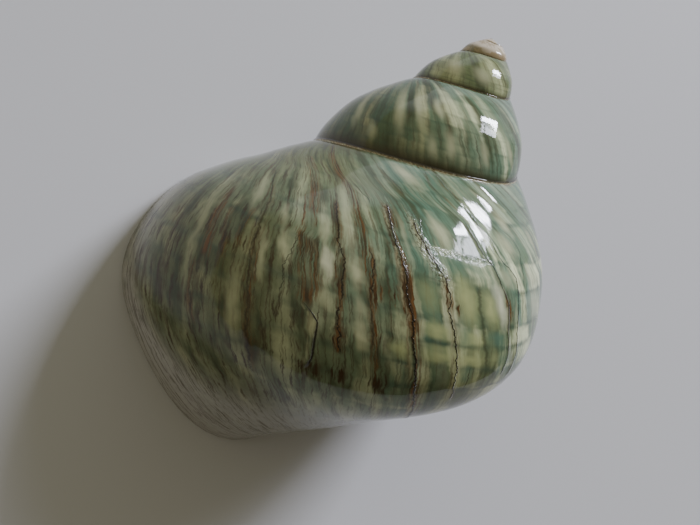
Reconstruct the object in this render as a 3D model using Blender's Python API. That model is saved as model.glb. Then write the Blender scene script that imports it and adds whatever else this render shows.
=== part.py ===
"""Polished turban shell, lying on its mouth.  Metres, +Z up, apex towards +X.

The shell is one coiled wall.  Every cross-section of the tube is the same outline, turned about the
coiling axis and enlarged by the growth factor, so the whorls follow one logarithmic spiral.  The lip is
the cut of the last whorl by the plane it rests on, and older growth lines are smaller copies of the lip.
"""
import math

import bmesh
import bpy
import numpy as np

MM = 0.001

# Spiral
GROWTH_PER_WHORL = 2.104        # size of the tube after one turn
CENTRE_OUT_MM = 20.6            # tube centre to the coiling axis, at the lip
CENTRE_DOWN_MM = 59.0           # tube centre below the start of the spiral, at the lip
LAST_DROP_MM = 0.7              # how far the last whorl sags below the spiral
CHANGE_FROM_DEG = 252.0         # the outline changes over this last part of the growth
VISIBLE_WHORLS = 3.25           # above these the tip is worn to a small dome

# Outline of the tube, as distances from its centre at the lip; 0 degrees points away from the axis
OUTLINE_DEG = (-180, -140, -110, -80, -50, -20, 10, 40, 70, 100, 130, 155)
OUTLINE_EARLY_MM = (28.2, 29.0, 33.1, 26.7, 25.2, 22.9, 19.7, 19.6, 22.4, 31.9, 39.9, 31.8)
OUTLINE_LAST_MM = (30.3, 32.3, 37.5, 29.7, 23.3, 22.7, 21.1, 20.5, 21.9, 31.2, 40.1, 32.7)

# Resting plane, which is also the plane of the lip
AXIS_RISE_DEG = 27.9            # coiling axis above the floor
FLOOR_TURN_DEG = 164.4          # bearing of the floor's upward normal about the axis
FLOOR_CLEAR_MM = 0.03           # the older whorl beside the mouth just clears the floor

# Wall
LIP_WALL_MM = 2.6               # wall thickness at the lip
BASE_WALL_MM = 1.6              # extra wall thickness at the base, next to the pillar
WALL_POWER = 0.5                # the wall thins towards the apex with this power of the size
THINNEST_WALL_MM = 1.3
CALLUS_MM = 0.9                 # glaze over the older whorl inside the mouth
COLUMELLA_MM = 4.6              # radius of the central pillar at the lip
HOLLOW_TURNS = 1.55             # the hollow is modelled this far in from the lip
CORNER_POWER = 6.0              # rounding of the hollow's inner corners
INNER_LAG_DEG = -6.0            # how far the glaze edge lies inside the mouth
INNER_LIP_SWELL = 0.20          # swelling of the inner lip, as a share of its width
BASE_END_DEG = -125.0           # where the outline leaves off at the base, close to the axis
FOOT_MM = (-38.5, -9.0)         # foot of the pillar on the floor, from the upper end of the lip

# Growth relief
RIDGE_MM = 0.30                 # height of the growth ridges near the lip
TIP_RISE_MM = 0.45              # dome of the worn tip

# Facets
STEP_DEG = 7.5
ROWS = 11                       # suture to suture
BASE_ROWS = 9                   # shoulder of the base to the foot of the pillar
HOLLOW_STEP_DEG = 10.0
ORIGIN_MM = (-16.34, 0.41)        # bottom centre of the shell in the plane of the lip

TURN = 2.0 * math.pi
STEP = math.radians(STEP_DEG)
TURN_STEPS = round(360.0 / STEP_DEG)
SPIRAL_RATE = math.log(GROWTH_PER_WHORL) / TURN


def clear_scene():
    """Start from an empty scene."""
    for item in list(bpy.data.objects):
        bpy.data.objects.remove(item, do_unlink=True)


def closed_curve(degrees, values):
    """Smooth closed curve through the given distances: returns a function of the angle."""
    x = np.radians(np.append(degrees, degrees[0] + 360.0))
    y = np.append(values, values[0]).astype(float)
    n = len(values)
    h = np.diff(x)
    slope = np.diff(y) / h
    a = np.zeros((n, n))
    b = np.zeros(n)
    for i in range(n):
        p = (i - 1) % n
        a[i, p] += h[i]
        a[i, i] += 2.0 * (h[p] + h[i])
        a[i, (i + 1) % n] += h[p]
        b[i] = 3.0 * (h[i] * slope[p] + h[p] * slope[i])
    d = np.linalg.solve(a, b)
    d = np.append(d, d[0])

    def value(angle):
        t = (np.asarray(angle) - x[0]) % TURN + x[0]
        i = np.clip(np.searchsorted(x, t, side="right") - 1, 0, n - 1)
        u = (t - x[i]) / h[i]
        return ((2 * u - 3) * u * u + 1) * y[i] + ((u - 2) * u + 1) * u * h[i] * d[i] \
            + (3 - 2 * u) * u * u * y[i + 1] + (u - 1) * u * u * h[i] * d[i + 1]

    return value


EARLY = closed_curve(OUTLINE_DEG, OUTLINE_EARLY_MM)
LAST = closed_curve(OUTLINE_DEG, OUTLINE_LAST_MM)


def size_at(growth):
    """Size of the tube at a growth angle; 0 is the lip, older growth is negative."""
    return np.exp(SPIRAL_RATE * growth)


def late(growth):
    """0 on the older whorls, rising to 1 at the lip."""
    u = np.clip(1.0 + growth / math.radians(CHANGE_FROM_DEG), 0.0, 1.0)
    return u * u * (3.0 - 2.0 * u)


def outline(growth, angle):
    """Distance of the outside from the tube centre, for a tube of full size."""
    w = late(growth)
    return EARLY(angle) * (1.0 - w) + LAST(angle) * w


def centre(growth):
    """Tube centre: distance from the axis and height."""
    k = size_at(growth)
    return k * CENTRE_OUT_MM, -k * (CENTRE_DOWN_MM + LAST_DROP_MM * late(growth))


def place(growth, angle, radius):
    """Point of the tube section, from its full-size distance, in the frame of the axis."""
    k = size_at(growth)
    out, up = centre(growth)
    out = out + k * radius * np.cos(angle)
    up = up + k * radius * np.sin(angle)
    return np.stack([out * np.cos(-growth), out * np.sin(-growth), up], -1)


def depth_in_older(growth, angle, radius):
    """How far a point of the section lies inside the whorl before it, in mm."""
    k = size_at(growth)
    out, up = centre(growth)
    older = growth - TURN
    out_o, up_o = centre(older)
    dx = out + k * radius * np.cos(angle) - out_o
    dy = up + k * radius * np.sin(angle) - up_o
    return size_at(older) * outline(older, np.arctan2(dy, dx)) - np.hypot(dx, dy)


def suture_angle(growth):
    """Angle at which the whorl meets the older one above it."""
    growth = np.atleast_1d(growth)
    trial = np.radians(np.linspace(50.0, 200.0, 301))
    g, a = np.meshgrid(growth, trial, indexing="ij")
    f = depth_in_older(g, a, outline(g, a))
    i = np.clip(np.argmax(f > 0.0, axis=1), 1, len(trial) - 1)
    n = np.arange(len(growth))
    lo, hi = trial[i - 1], trial[i]
    for _ in range(30):
        mid = 0.5 * (lo + hi)
        inside = depth_in_older(growth, mid, outline(growth, mid)) > 0.0
        hi = np.where(inside, mid, hi)
        lo = np.where(inside, lo, mid)
    return 0.5 * (lo + hi)


LIP_START_ANGLE = float(suture_angle(0.0)[0])
LIP_START = place(0.0, LIP_START_ANGLE, outline(0.0, LIP_START_ANGLE))
RISE = math.radians(AXIS_RISE_DEG)
BEARING = math.radians(FLOOR_TURN_DEG)
UP = np.array([math.cos(RISE) * math.cos(BEARING), math.cos(RISE) * math.sin(BEARING), math.sin(RISE)])
ACROSS = np.array([0.0, 0.0, 1.0]) - UP * UP[2]
ACROSS /= np.linalg.norm(ACROSS)
TO_FLOOR = np.stack([ACROSS, np.cross(UP, ACROSS), UP])


def above_floor(points):
    """Height over the resting plane."""
    return (points - LIP_START) @ UP


def lip_growth(angle, radius_of):
    """Growth angle at which the surface of a given section angle meets the resting plane."""
    trial = np.radians(np.linspace(-175.0, 25.0, 401))
    g, a = np.meshgrid(trial, angle, indexing="ij")
    f = above_floor(place(g, a, radius_of(g, a)))
    above = f > 0.0
    i = np.clip(len(trial) - 1 - np.argmax(above[::-1], axis=0), 0, len(trial) - 2)
    lo, hi = trial[i], trial[i + 1]
    for _ in range(30):
        mid = 0.5 * (lo + hi)
        up = above_floor(place(mid, angle, radius_of(mid, angle))) > 0.0
        lo = np.where(up, mid, lo)
        hi = np.where(up, hi, mid)
    return 0.5 * (lo + hi)


def ridge(growth):
    """Low irregular growth ridges, one side steeper than the other."""
    t = growth / STEP
    wave = np.sin(t * 2.1 + 0.6 * np.sin(t * 0.37)) + 0.6 * np.sin(t * 1.27 + 1.9)
    return wave * (0.6 + 0.4 * np.sin(t * 0.21 + 0.5))


def lift(points, least, soft):
    """Raise points that come nearer to the floor than a given height, with a soft bend."""
    h = above_floor(points)
    raised = least + 0.5 * ((h - least) + np.sqrt((h - least) ** 2 + soft * soft))
    return points + (raised - h)[..., None] * UP


class Layout:
    """Section angles and growth lags of the lip, shared by every growth line."""

    def __init__(self):
        fine = np.linspace(LIP_START_ANGLE, math.radians(BASE_END_DEG), 600)
        lag = lip_growth(fine, outline)
        lag[0] = 0.0
        curve = place(lag, fine, outline(lag, fine))
        run = np.append(0.0, np.cumsum(np.linalg.norm(np.diff(curve, axis=0), axis=1)))
        near = int(np.argmin(np.abs(fine - math.radians(-36.0))))
        self.lag_steps = round(-lag[near] / STEP)
        upper = slice(0, near + 60)
        self.shoulder = float(np.interp(self.lag_steps * STEP, -lag[upper], fine[upper]))
        cut = float(np.interp(-self.shoulder, -fine, run))
        measure = 0.6 * run / run[-1] + 0.4 * (fine[0] - fine) / (fine[0] - fine[-1])
        middle = float(np.interp(cut, run, measure))
        marks = np.append(np.linspace(0.0, middle, ROWS + 1),
                          np.linspace(middle, 1.0, BASE_ROWS + 1)[1:])
        self.angles = np.interp(marks, measure, fine)
        self.angles[ROWS] = self.shoulder
        self.lags = lip_growth(self.angles, outline)
        self.lags[0] = 0.0
        self.lags[ROWS] = -self.lag_steps * STEP
        self.foot = LIP_START + np.array([FOOT_MM[0], FOOT_MM[1], 0.0]) @ TO_FLOOR


def outer_columns(layout):
    """Outside of the shell as growth lines from the tip to the lip: points[column, row]."""
    count = round(VISIBLE_WHORLS * TURN_STEPS)
    growth = -STEP * np.arange(count, -1, -1)
    top = suture_angle(growth)
    start = place(growth, top, outline(growth, top))
    lead = TURN_STEPS - layout.lag_steps
    first = count - lead
    # angle at which the next whorl covers each growth line
    cover = np.full(count + 1, layout.shoulder)
    for j in range(first + 1):
        out, up = centre(growth[j] + layout.lags[ROWS])
        p = start[j + lead]
        cover[j] = math.atan2(p[2] - up, math.hypot(p[0], p[1]) - out)
    since = np.arange(count + 1) - first
    ramp = np.clip(since / (0.35 * TURN_STEPS), 0.0, 1.0)
    cover = np.where(ramp > 0.0, cover[first] + (layout.shoulder - cover[first]) * ramp, cover)
    side = np.clip(since / (0.5 * TURN_STEPS), 0.0, 1.0)
    pull = 2.0 + 6.0 * side * side * (3.0 - 2.0 * side)
    full = layout.shoulder - layout.angles[0]
    points = np.zeros((count + 1, ROWS + BASE_ROWS + 1, 3))
    for j in range(count + 1):
        last = ROWS if j < first else ROWS + BASE_ROWS
        for r in range(last + 1):
            if r <= ROWS:
                part = (layout.angles[r] - layout.angles[0]) / full
                angle = top[j] + part * (cover[j] - top[j])
                g = growth[j] + layout.lags[r]
            else:
                part = (layout.angles[r] - layout.shoulder) / (layout.angles[-1] - layout.shoulder)
                angle = cover[j] + part * (layout.angles[-1] - cover[j])
                g = growth[j] + layout.lags[ROWS] + ramp[j] * (layout.lags[r] - layout.lags[ROWS])
            relief = 0.0
            if 0 < r < ROWS and j < count:
                relief = RIDGE_MM * math.sin(math.pi * r / ROWS) ** 0.5 * ridge(growth[j])
            p = place(g, angle, outline(g, angle) + relief)
            if r > ROWS:
                u = (r - ROWS) / BASE_ROWS
                p = p + u ** pull[j] * (layout.foot - p)
            points[j, r] = p
    points[:, 0] = start
    points[count, 0] = LIP_START
    rows = slice(1, ROWS + BASE_ROWS)
    for j in range(first, min(first + TURN_STEPS // 2, count)):
        points[j, rows] = lift(points[j, rows], FLOOR_CLEAR_MM, 1.0)
    points[first, ROWS] = LIP_START
    return points, growth, first, lead


def hollow_radius(growth, angle):
    """Distance of the hollow's wall from the tube centre, for a tube of full size."""
    growth, angle = np.broadcast_arrays(growth, angle)
    k = size_at(growth)
    wall = np.maximum(LIP_WALL_MM * k ** WALL_POWER, THINNEST_WALL_MM) / k
    below = np.clip((-np.sin(angle) * 1.6 - np.cos(angle)) - 1.5, 0.0, 0.6) / 0.6
    outer = outline(growth, angle) - wall - BASE_WALL_MM * below
    pillar = np.where(np.cos(angle) < -0.05, (CENTRE_OUT_MM - COLUMELLA_MM) / np.maximum(-np.cos(angle), 0.05),
                      400.0)
    part = np.linspace(0.3, 1.0, 41)
    d = np.stack([depth_in_older(growth, angle, outer * f) for f in part])
    hit = d > -CALLUS_MM * k ** WALL_POWER
    i = np.clip(np.argmax(hit, axis=0), 1, len(part) - 1)
    some = hit.any(axis=0)
    lo, hi = part[i - 1], part[i]
    for _ in range(12):
        mid = 0.5 * (lo + hi)
        deep = depth_in_older(growth, angle, outer * mid) > -CALLUS_MM * k ** WALL_POWER
        hi = np.where(deep, mid, hi)
        lo = np.where(deep, lo, mid)
    older = np.where(some, outer * 0.5 * (lo + hi), 400.0)
    p = CORNER_POWER
    return (outer ** -p + pillar ** -p + older ** -p) ** (-1.0 / p)


def hollow_rings(layout):
    """Rings of the hollow from the mouth inwards: points[ring, place], and its inner end."""
    outer = layout.angles.copy()
    outer[0] = 0.5 * (outer[0] + outer[1])
    inner = np.linspace(outer[-1] + TURN, outer[0], BASE_ROWS + 1)[1:-1]
    lag_out = lip_growth(outer, hollow_radius)
    u = np.linspace(0.0, 1.0, BASE_ROWS + 1)[1:-1]
    ease = 1.0 - (1.0 - u) ** 2.2
    lag_in = lag_out[-1] + (math.radians(INNER_LAG_DEG) - lag_out[-1]) * ease
    angles = np.concatenate([outer, inner])
    lags = np.concatenate([lag_out, lag_in])
    count = round(HOLLOW_TURNS * 360.0 / HOLLOW_STEP_DEG)
    rings = []
    for q in range(count):
        g = -math.radians(HOLLOW_STEP_DEG) * q + lags
        x = max(0.0, (q - (count - 5)) / 5.0)
        p = place(g, angles, hollow_radius(g, angles) * math.sqrt(1.0 - x * x))
        if q > 0:
            p = lift(p, THINNEST_WALL_MM + FLOOR_CLEAR_MM, 0.3) if q > 20 else p
        rings.append(p)
    rings[0][:len(outer)] -= above_floor(rings[0][:len(outer)])[:, None] * UP
    return np.array(rings)


def tip_cap(loop):
    """Worn dome over the first growth line: inner ring of points and the tip."""
    tip = np.array([0.0, 0.0, loop[:, 2].max() + TIP_RISE_MM])
    ring = 0.5 * (loop + tip)
    ring[:, 2] += 0.3 * (tip[2] - ring[:, 2])
    return ring, tip


def lip_middle(mouth, rim, flat):
    """Points half way between the outside edge and the hollow; the inner lip swells a little."""
    middle = 0.5 * (mouth + rim)
    width = np.linalg.norm(mouth - rim, axis=1)[:, None]
    swell = np.zeros((len(mouth), 1))
    swell[flat:] = INNER_LIP_SWELL
    raised = middle - swell * width * UP
    raised[flat:] = lift(raised[flat:], FLOOR_CLEAR_MM, 0.3)
    return raised


def build_mesh():
    """Closed surface of the shell: vertices in mm in the resting frame and triangles."""
    layout = Layout()
    outer, growth, first, lead = outer_columns(layout)
    count = len(growth) - 1
    foot_row = ROWS + BASE_ROWS
    points, faces, index = [], [], {}

    def vertex(key, p):
        if key not in index:
            index[key] = len(points)
            points.append(p)
        return index[key]

    def on_shell(j, r):
        if r == foot_row:
            return vertex("foot", layout.foot)
        if r == ROWS and j <= first:
            return vertex((j + lead, 0), outer[j + lead, 0])
        return vertex((j, r), outer[j, r])

    def quad(a, b, c, d):
        for tri in ((a, b, c), (a, c, d)):
            if len(set(tri)) == 3:
                faces.append(tri)

    for j in range(count):
        rows = ROWS if j < first else foot_row
        for r in range(rows):
            quad(on_shell(j, r), on_shell(j, r + 1), on_shell(j + 1, r + 1), on_shell(j + 1, r))
    # worn tip
    keys = [(j, 0) for j in range(0, lead)] + [(0, r) for r in range(ROWS, 0, -1)]
    loop = [on_shell(*key) for key in keys]
    ring, tip = tip_cap(np.array([points[i] for i in loop]))
    inner = [vertex(("tip", i), p) for i, p in enumerate(ring)]
    top = vertex("top", tip)
    for i in range(len(loop)):
        n = (i + 1) % len(loop)
        quad(loop[i], loop[n], inner[n], inner[i])
        faces.append((inner[i], inner[n], top))
    # flat face of the lip, edge of the glaze and the hollow
    rings = hollow_rings(layout)
    mouth = [on_shell(count, r) for r in range(foot_row + 1)]
    mouth += [on_shell(first, r) for r in range(foot_row - 1, ROWS, -1)]
    size = len(mouth)
    edge = lip_middle(np.array([points[i] for i in mouth]), rings[0], foot_row + 1)
    rows = [mouth, [vertex(("edge", i), p) for i, p in enumerate(edge)]]
    rows += [[vertex(("in", q, i), rings[q, i]) for i in range(size)] for q in range(len(rings))]
    for a, b in zip(rows[:-1], rows[1:]):
        for i in range(size):
            n = (i + 1) % size
            quad(a[i], a[n], b[n], b[i])
    end = vertex("end", rings[-1].mean(axis=0))
    for i in range(size):
        faces.append((rows[-1][i], rows[-1][(i + 1) % size], end))
    p = (np.array(points) - LIP_START) @ TO_FLOOR.T
    p[:, 0] -= ORIGIN_MM[0]
    p[:, 1] -= ORIGIN_MM[1]
    tri = np.array(faces)
    volume = np.einsum("ij,ij->i", p[tri[:, 0]], np.cross(p[tri[:, 1]], p[tri[:, 2]])).sum()
    if volume < 0.0:
        tri = tri[:, ::-1]
    return p, tri


def polished_shell():
    """Material of the polished outside."""
    mat = bpy.data.materials.new("polished_shell")
    mat.use_nodes = True
    bsdf = mat.node_tree.nodes["Principled BSDF"]
    bsdf.inputs["Base Color"].default_value = (0.21, 0.29, 0.20, 1.0)
    bsdf.inputs["Roughness"].default_value = 0.18
    bsdf.inputs["Coat Weight"].default_value = 0.7
    return mat


def main():
    clear_scene()
    p, tri = build_mesh()
    mesh = bpy.data.meshes.new("shell")
    mesh.from_pydata((p * MM).tolist(), [], tri.tolist())
    mesh.validate()
    bm = bmesh.new()
    bm.from_mesh(mesh)
    bmesh.ops.recalc_face_normals(bm, faces=bm.faces)
    bm.to_mesh(mesh)
    bm.free()
    for face in mesh.polygons:
        face.use_smooth = True
    shell = bpy.data.objects.new("shell", mesh)
    bpy.context.scene.collection.objects.link(shell)
    mesh.materials.append(polished_shell())


main()
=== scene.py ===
"""Polished turban shell, lying on its mouth on a pale floor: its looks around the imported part."""

from __future__ import annotations

import logging
import math
from dataclasses import dataclass, field, replace
from enum import Enum
from typing import Callable, Sequence, Union

import bpy
import numpy as np
from mathutils import Matrix, Vector


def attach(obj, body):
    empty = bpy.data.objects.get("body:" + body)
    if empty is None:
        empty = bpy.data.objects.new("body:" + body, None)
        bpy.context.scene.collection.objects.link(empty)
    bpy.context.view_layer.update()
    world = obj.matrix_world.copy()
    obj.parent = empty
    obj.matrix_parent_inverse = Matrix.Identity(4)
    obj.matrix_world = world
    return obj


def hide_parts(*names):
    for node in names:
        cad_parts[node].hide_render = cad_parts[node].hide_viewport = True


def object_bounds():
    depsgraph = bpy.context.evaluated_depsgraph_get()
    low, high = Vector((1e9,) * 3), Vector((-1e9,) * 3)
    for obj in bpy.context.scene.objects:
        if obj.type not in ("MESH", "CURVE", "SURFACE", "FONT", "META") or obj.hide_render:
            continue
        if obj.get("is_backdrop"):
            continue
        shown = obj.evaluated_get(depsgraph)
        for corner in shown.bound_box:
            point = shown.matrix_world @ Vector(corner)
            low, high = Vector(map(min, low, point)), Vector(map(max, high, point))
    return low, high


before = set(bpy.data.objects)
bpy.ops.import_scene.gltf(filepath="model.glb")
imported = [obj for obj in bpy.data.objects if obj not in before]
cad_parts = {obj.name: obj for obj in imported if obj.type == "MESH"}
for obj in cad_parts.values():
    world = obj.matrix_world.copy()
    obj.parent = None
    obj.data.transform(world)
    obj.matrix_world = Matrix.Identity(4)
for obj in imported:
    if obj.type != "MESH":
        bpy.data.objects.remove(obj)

LOG = logging.getLogger("turban_shell")
TURN = 2.0 * math.pi
MM = 0.001
CAD_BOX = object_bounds()

Number = Union[int, float]
Curve = Callable[..., np.ndarray]


def math_operator(operation: str, swapped: bool = False) -> Callable[["Term", "Feed"], "Term"]:
    """Operator method that adds one Math node.

    Args:
        operation: The node's operation.
        swapped: The other value stands first, as in the reflected forms.

    Returns:
        Method for the class of terms.
    """
    def method(self: "Term", other: "Feed") -> "Term":
        """Result of the node."""
        return self._math(operation, *((other, self) if swapped else (self, other)))

    return method


class Term:
    """A socket of a node tree that takes part in Python expressions."""

    __add__, __radd__ = math_operator("ADD"), math_operator("ADD", swapped=True)
    __sub__, __rsub__ = math_operator("SUBTRACT"), math_operator("SUBTRACT", swapped=True)
    __mul__, __rmul__ = math_operator("MULTIPLY"), math_operator("MULTIPLY", swapped=True)
    __truediv__, __rtruediv__ = math_operator("DIVIDE"), math_operator("DIVIDE", swapped=True)
    __pow__, __rpow__ = math_operator("POWER"), math_operator("POWER", swapped=True)

    def __init__(self, bench: "Bench", socket: bpy.types.NodeSocket) -> None:
        """Wrap a socket that belongs to the bench's tree."""
        self.bench = bench
        self.socket = socket

    def _math(self, operation: str, *values: "Feed", clamp: bool = False) -> "Term":
        """Add one Math node.

        Args:
            operation: The node's operation.
            values: Its inputs in order.
            clamp: Keep the result between 0 and 1.

        Returns:
            The node's result.
        """
        return self.bench.node("ShaderNodeMath", {"operation": operation, "use_clamp": clamp}, *values)

    def __neg__(self) -> "Term":
        """Opposite."""
        return self._math("MULTIPLY", self, -1.0)

    def __abs__(self) -> "Term":
        """Size without sign."""
        return self._math("ABSOLUTE", self)

    def sin(self) -> "Term":
        """Sine."""
        return self._math("SINE", self)

    def cos(self) -> "Term":
        """Cosine."""
        return self._math("COSINE", self)

    def log(self) -> "Term":
        """Natural logarithm."""
        return self._math("LOGARITHM", self, math.e)

    def root(self) -> "Term":
        """Square root."""
        return self._math("SQRT", self)

    def clamp(self) -> "Term":
        """Value kept between 0 and 1."""
        return self._math("ADD", self, 0.0, clamp=True)

    def smooth(self, low: "Feed", high: "Feed") -> "Term":
        """Smooth step from 0 at low to 1 at high."""
        return self.bench.node("ShaderNodeMapRange", {"interpolation_type": "SMOOTHSTEP"}, self, low, high, 0.0, 1.0)

    def near(self, reach: Number, core: Number = 0.0) -> "Term":
        """1 where the value is within the core of 0, fading to 0 at the reach."""
        return abs(self).smooth(reach, core)

    def within(self, rise_from: Feed, rise_to: Feed, fall_from: Feed, fall_to: Feed) -> "Term":
        """Smooth rise from 0 to 1 and smooth fall back to 0, at rising values."""
        return self.smooth(rise_from, rise_to) * self.smooth(fall_to, fall_from)

    def bell(self, centre: Number, width: Number) -> "Term":
        """Smooth bump of height 1 round a centre, down to about a third at the width."""
        far = (self - centre) / width
        return math.e ** (-(far * far))


Feed = Union[Term, Number, Sequence[float]]


class Bench:
    """Adds nodes to one tree, for shaders and for geometry alike."""

    def __init__(self, tree: bpy.types.NodeTree) -> None:
        """Work on the given tree."""
        self.tree = tree

    def node(self, kind: str, settings: dict | None = None, *values: Feed, output: Union[int, str] = 0,
             **named: Feed) -> Term:
        """Add any node.

        Args:
            kind: Type of the node.
            settings: Properties that are set before its sockets.
            values: Values or links for its first inputs; None leaves one as it is.
            output: Which output is returned.
            named: Values or links for inputs by name, with _ for a space.

        Returns:
            The chosen output.
        """
        made = self.tree.nodes.new(kind)
        for key, value in (settings or {}).items():
            setattr(made, key, value)
        for place, value in enumerate(values):
            if value is not None:
                self.feed(made.inputs[place], value)
        for key, value in named.items():
            self.feed(made.inputs[key.replace("_", " ")], value)
        if not made.outputs:
            return Term(self, made.inputs[0])
        return Term(self, made.outputs[output])

    def feed(self, socket: bpy.types.NodeSocket, value: Feed) -> None:
        """Link a term to a socket or set its value.

        Args:
            socket: Input of a node.
            value: A term, or a constant for the socket itself.
        """
        if isinstance(value, Term):
            self.tree.links.new(value.socket, socket)
        elif isinstance(value, (tuple, list)) and socket.type == "RGBA":
            socket.default_value = tuple(value) + (1.0,) * (4 - len(value))
        else:
            socket.default_value = value

    def vector(self, operation: str, *values: Feed, output: Union[int, str] = 0) -> Term:
        """Vector Math node."""
        return self.node("ShaderNodeVectorMath", {"operation": operation}, *values, output=output)

    def scaled(self, vector: Feed, factor: Feed) -> Term:
        """Vector times a number."""
        return self.node("ShaderNodeVectorMath", {"operation": "SCALE"}, vector, Scale=factor)

    def combine(self, x: Feed, y: Feed, z: Feed) -> Term:
        """Vector from three numbers."""
        return self.node("ShaderNodeCombineXYZ", None, x, y, z)

    def split(self, vector: Feed) -> tuple[Term, Term, Term]:
        """Three numbers of a vector."""
        made = self.node("ShaderNodeSeparateXYZ", None, vector)
        return tuple(Term(self, out) for out in made.socket.node.outputs)

    def blend(self, factor: Feed, first: Feed, second: Feed, mode: str = "MIX") -> Term:
        """Mix two colours.

        Args:
            factor: Share of the second colour.
            first: First colour.
            second: Second colour.
            mode: Blend type of the Mix node.

        Returns:
            The mixed colour.
        """
        made = self.tree.nodes.new("ShaderNodeMix")
        made.data_type = "RGBA"
        made.blend_type = mode
        made.clamp_factor = True
        colours = [socket for socket in made.inputs if socket.type == "RGBA"]
        self.feed(made.inputs[0], factor)
        self.feed(colours[0], first)
        self.feed(colours[1], second)
        return Term(self, next(socket for socket in made.outputs if socket.type == "RGBA"))

    def curve(self, value: Feed, points: Sequence[tuple[float, float]], sharp: bool = False) -> Term:
        """Number read from a curve through points.

        Args:
            value: Where the curve is read.
            points: Places and numbers of the curve, in rising order of place.
            sharp: Straight pieces instead of a smooth bend.

        Returns:
            The number, level beyond both ends.
        """
        places, numbers = [x for x, _ in points], [y for _, y in points]
        low, span = min(places), max(places) - min(places)
        least, rise = min(numbers), max(max(numbers) - min(numbers), 1e-9)
        share = (value - low) / span
        made = self.tree.nodes.new("ShaderNodeFloatCurve")
        self.feed(made.inputs["Value"], share)
        line = made.mapping.curves[0]
        for number, (x, y) in enumerate(points):
            spot = ((x - low) / span, (y - least) / rise)
            if number in (0, len(points) - 1):
                line.points[0 if number == 0 else len(line.points) - 1].location = spot
            else:
                line.points.new(*spot)
        for point in line.points:
            point.handle_type = "VECTOR" if sharp else "AUTO_CLAMPED"
        made.mapping.update()
        return Term(self, made.outputs[0]) * rise + least

    def noise(self, place: Feed, scale: Number, detail: Number = 2.0, rough: Number = 0.5,
              warp: Number = 0.0) -> Term:
        """Noise between about 0 and 1 at a place."""
        return self.node("ShaderNodeTexNoise", {"noise_dimensions": "3D"}, Vector=place, Scale=scale,
                         Detail=detail, Roughness=rough, Distortion=warp)

    def grain(self, x: Feed, y: Feed, z: Feed, detail: Number = 2.0, rough: Number = 0.5) -> Term:
        """Noise with unit steps at a place of three numbers."""
        return self.noise(self.combine(x, y, z), 1.0, detail, rough)


class Side(Enum):
    """Which finish a facet of the shell has."""

    OUTSIDE = 0
    INSIDE = 1


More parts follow.
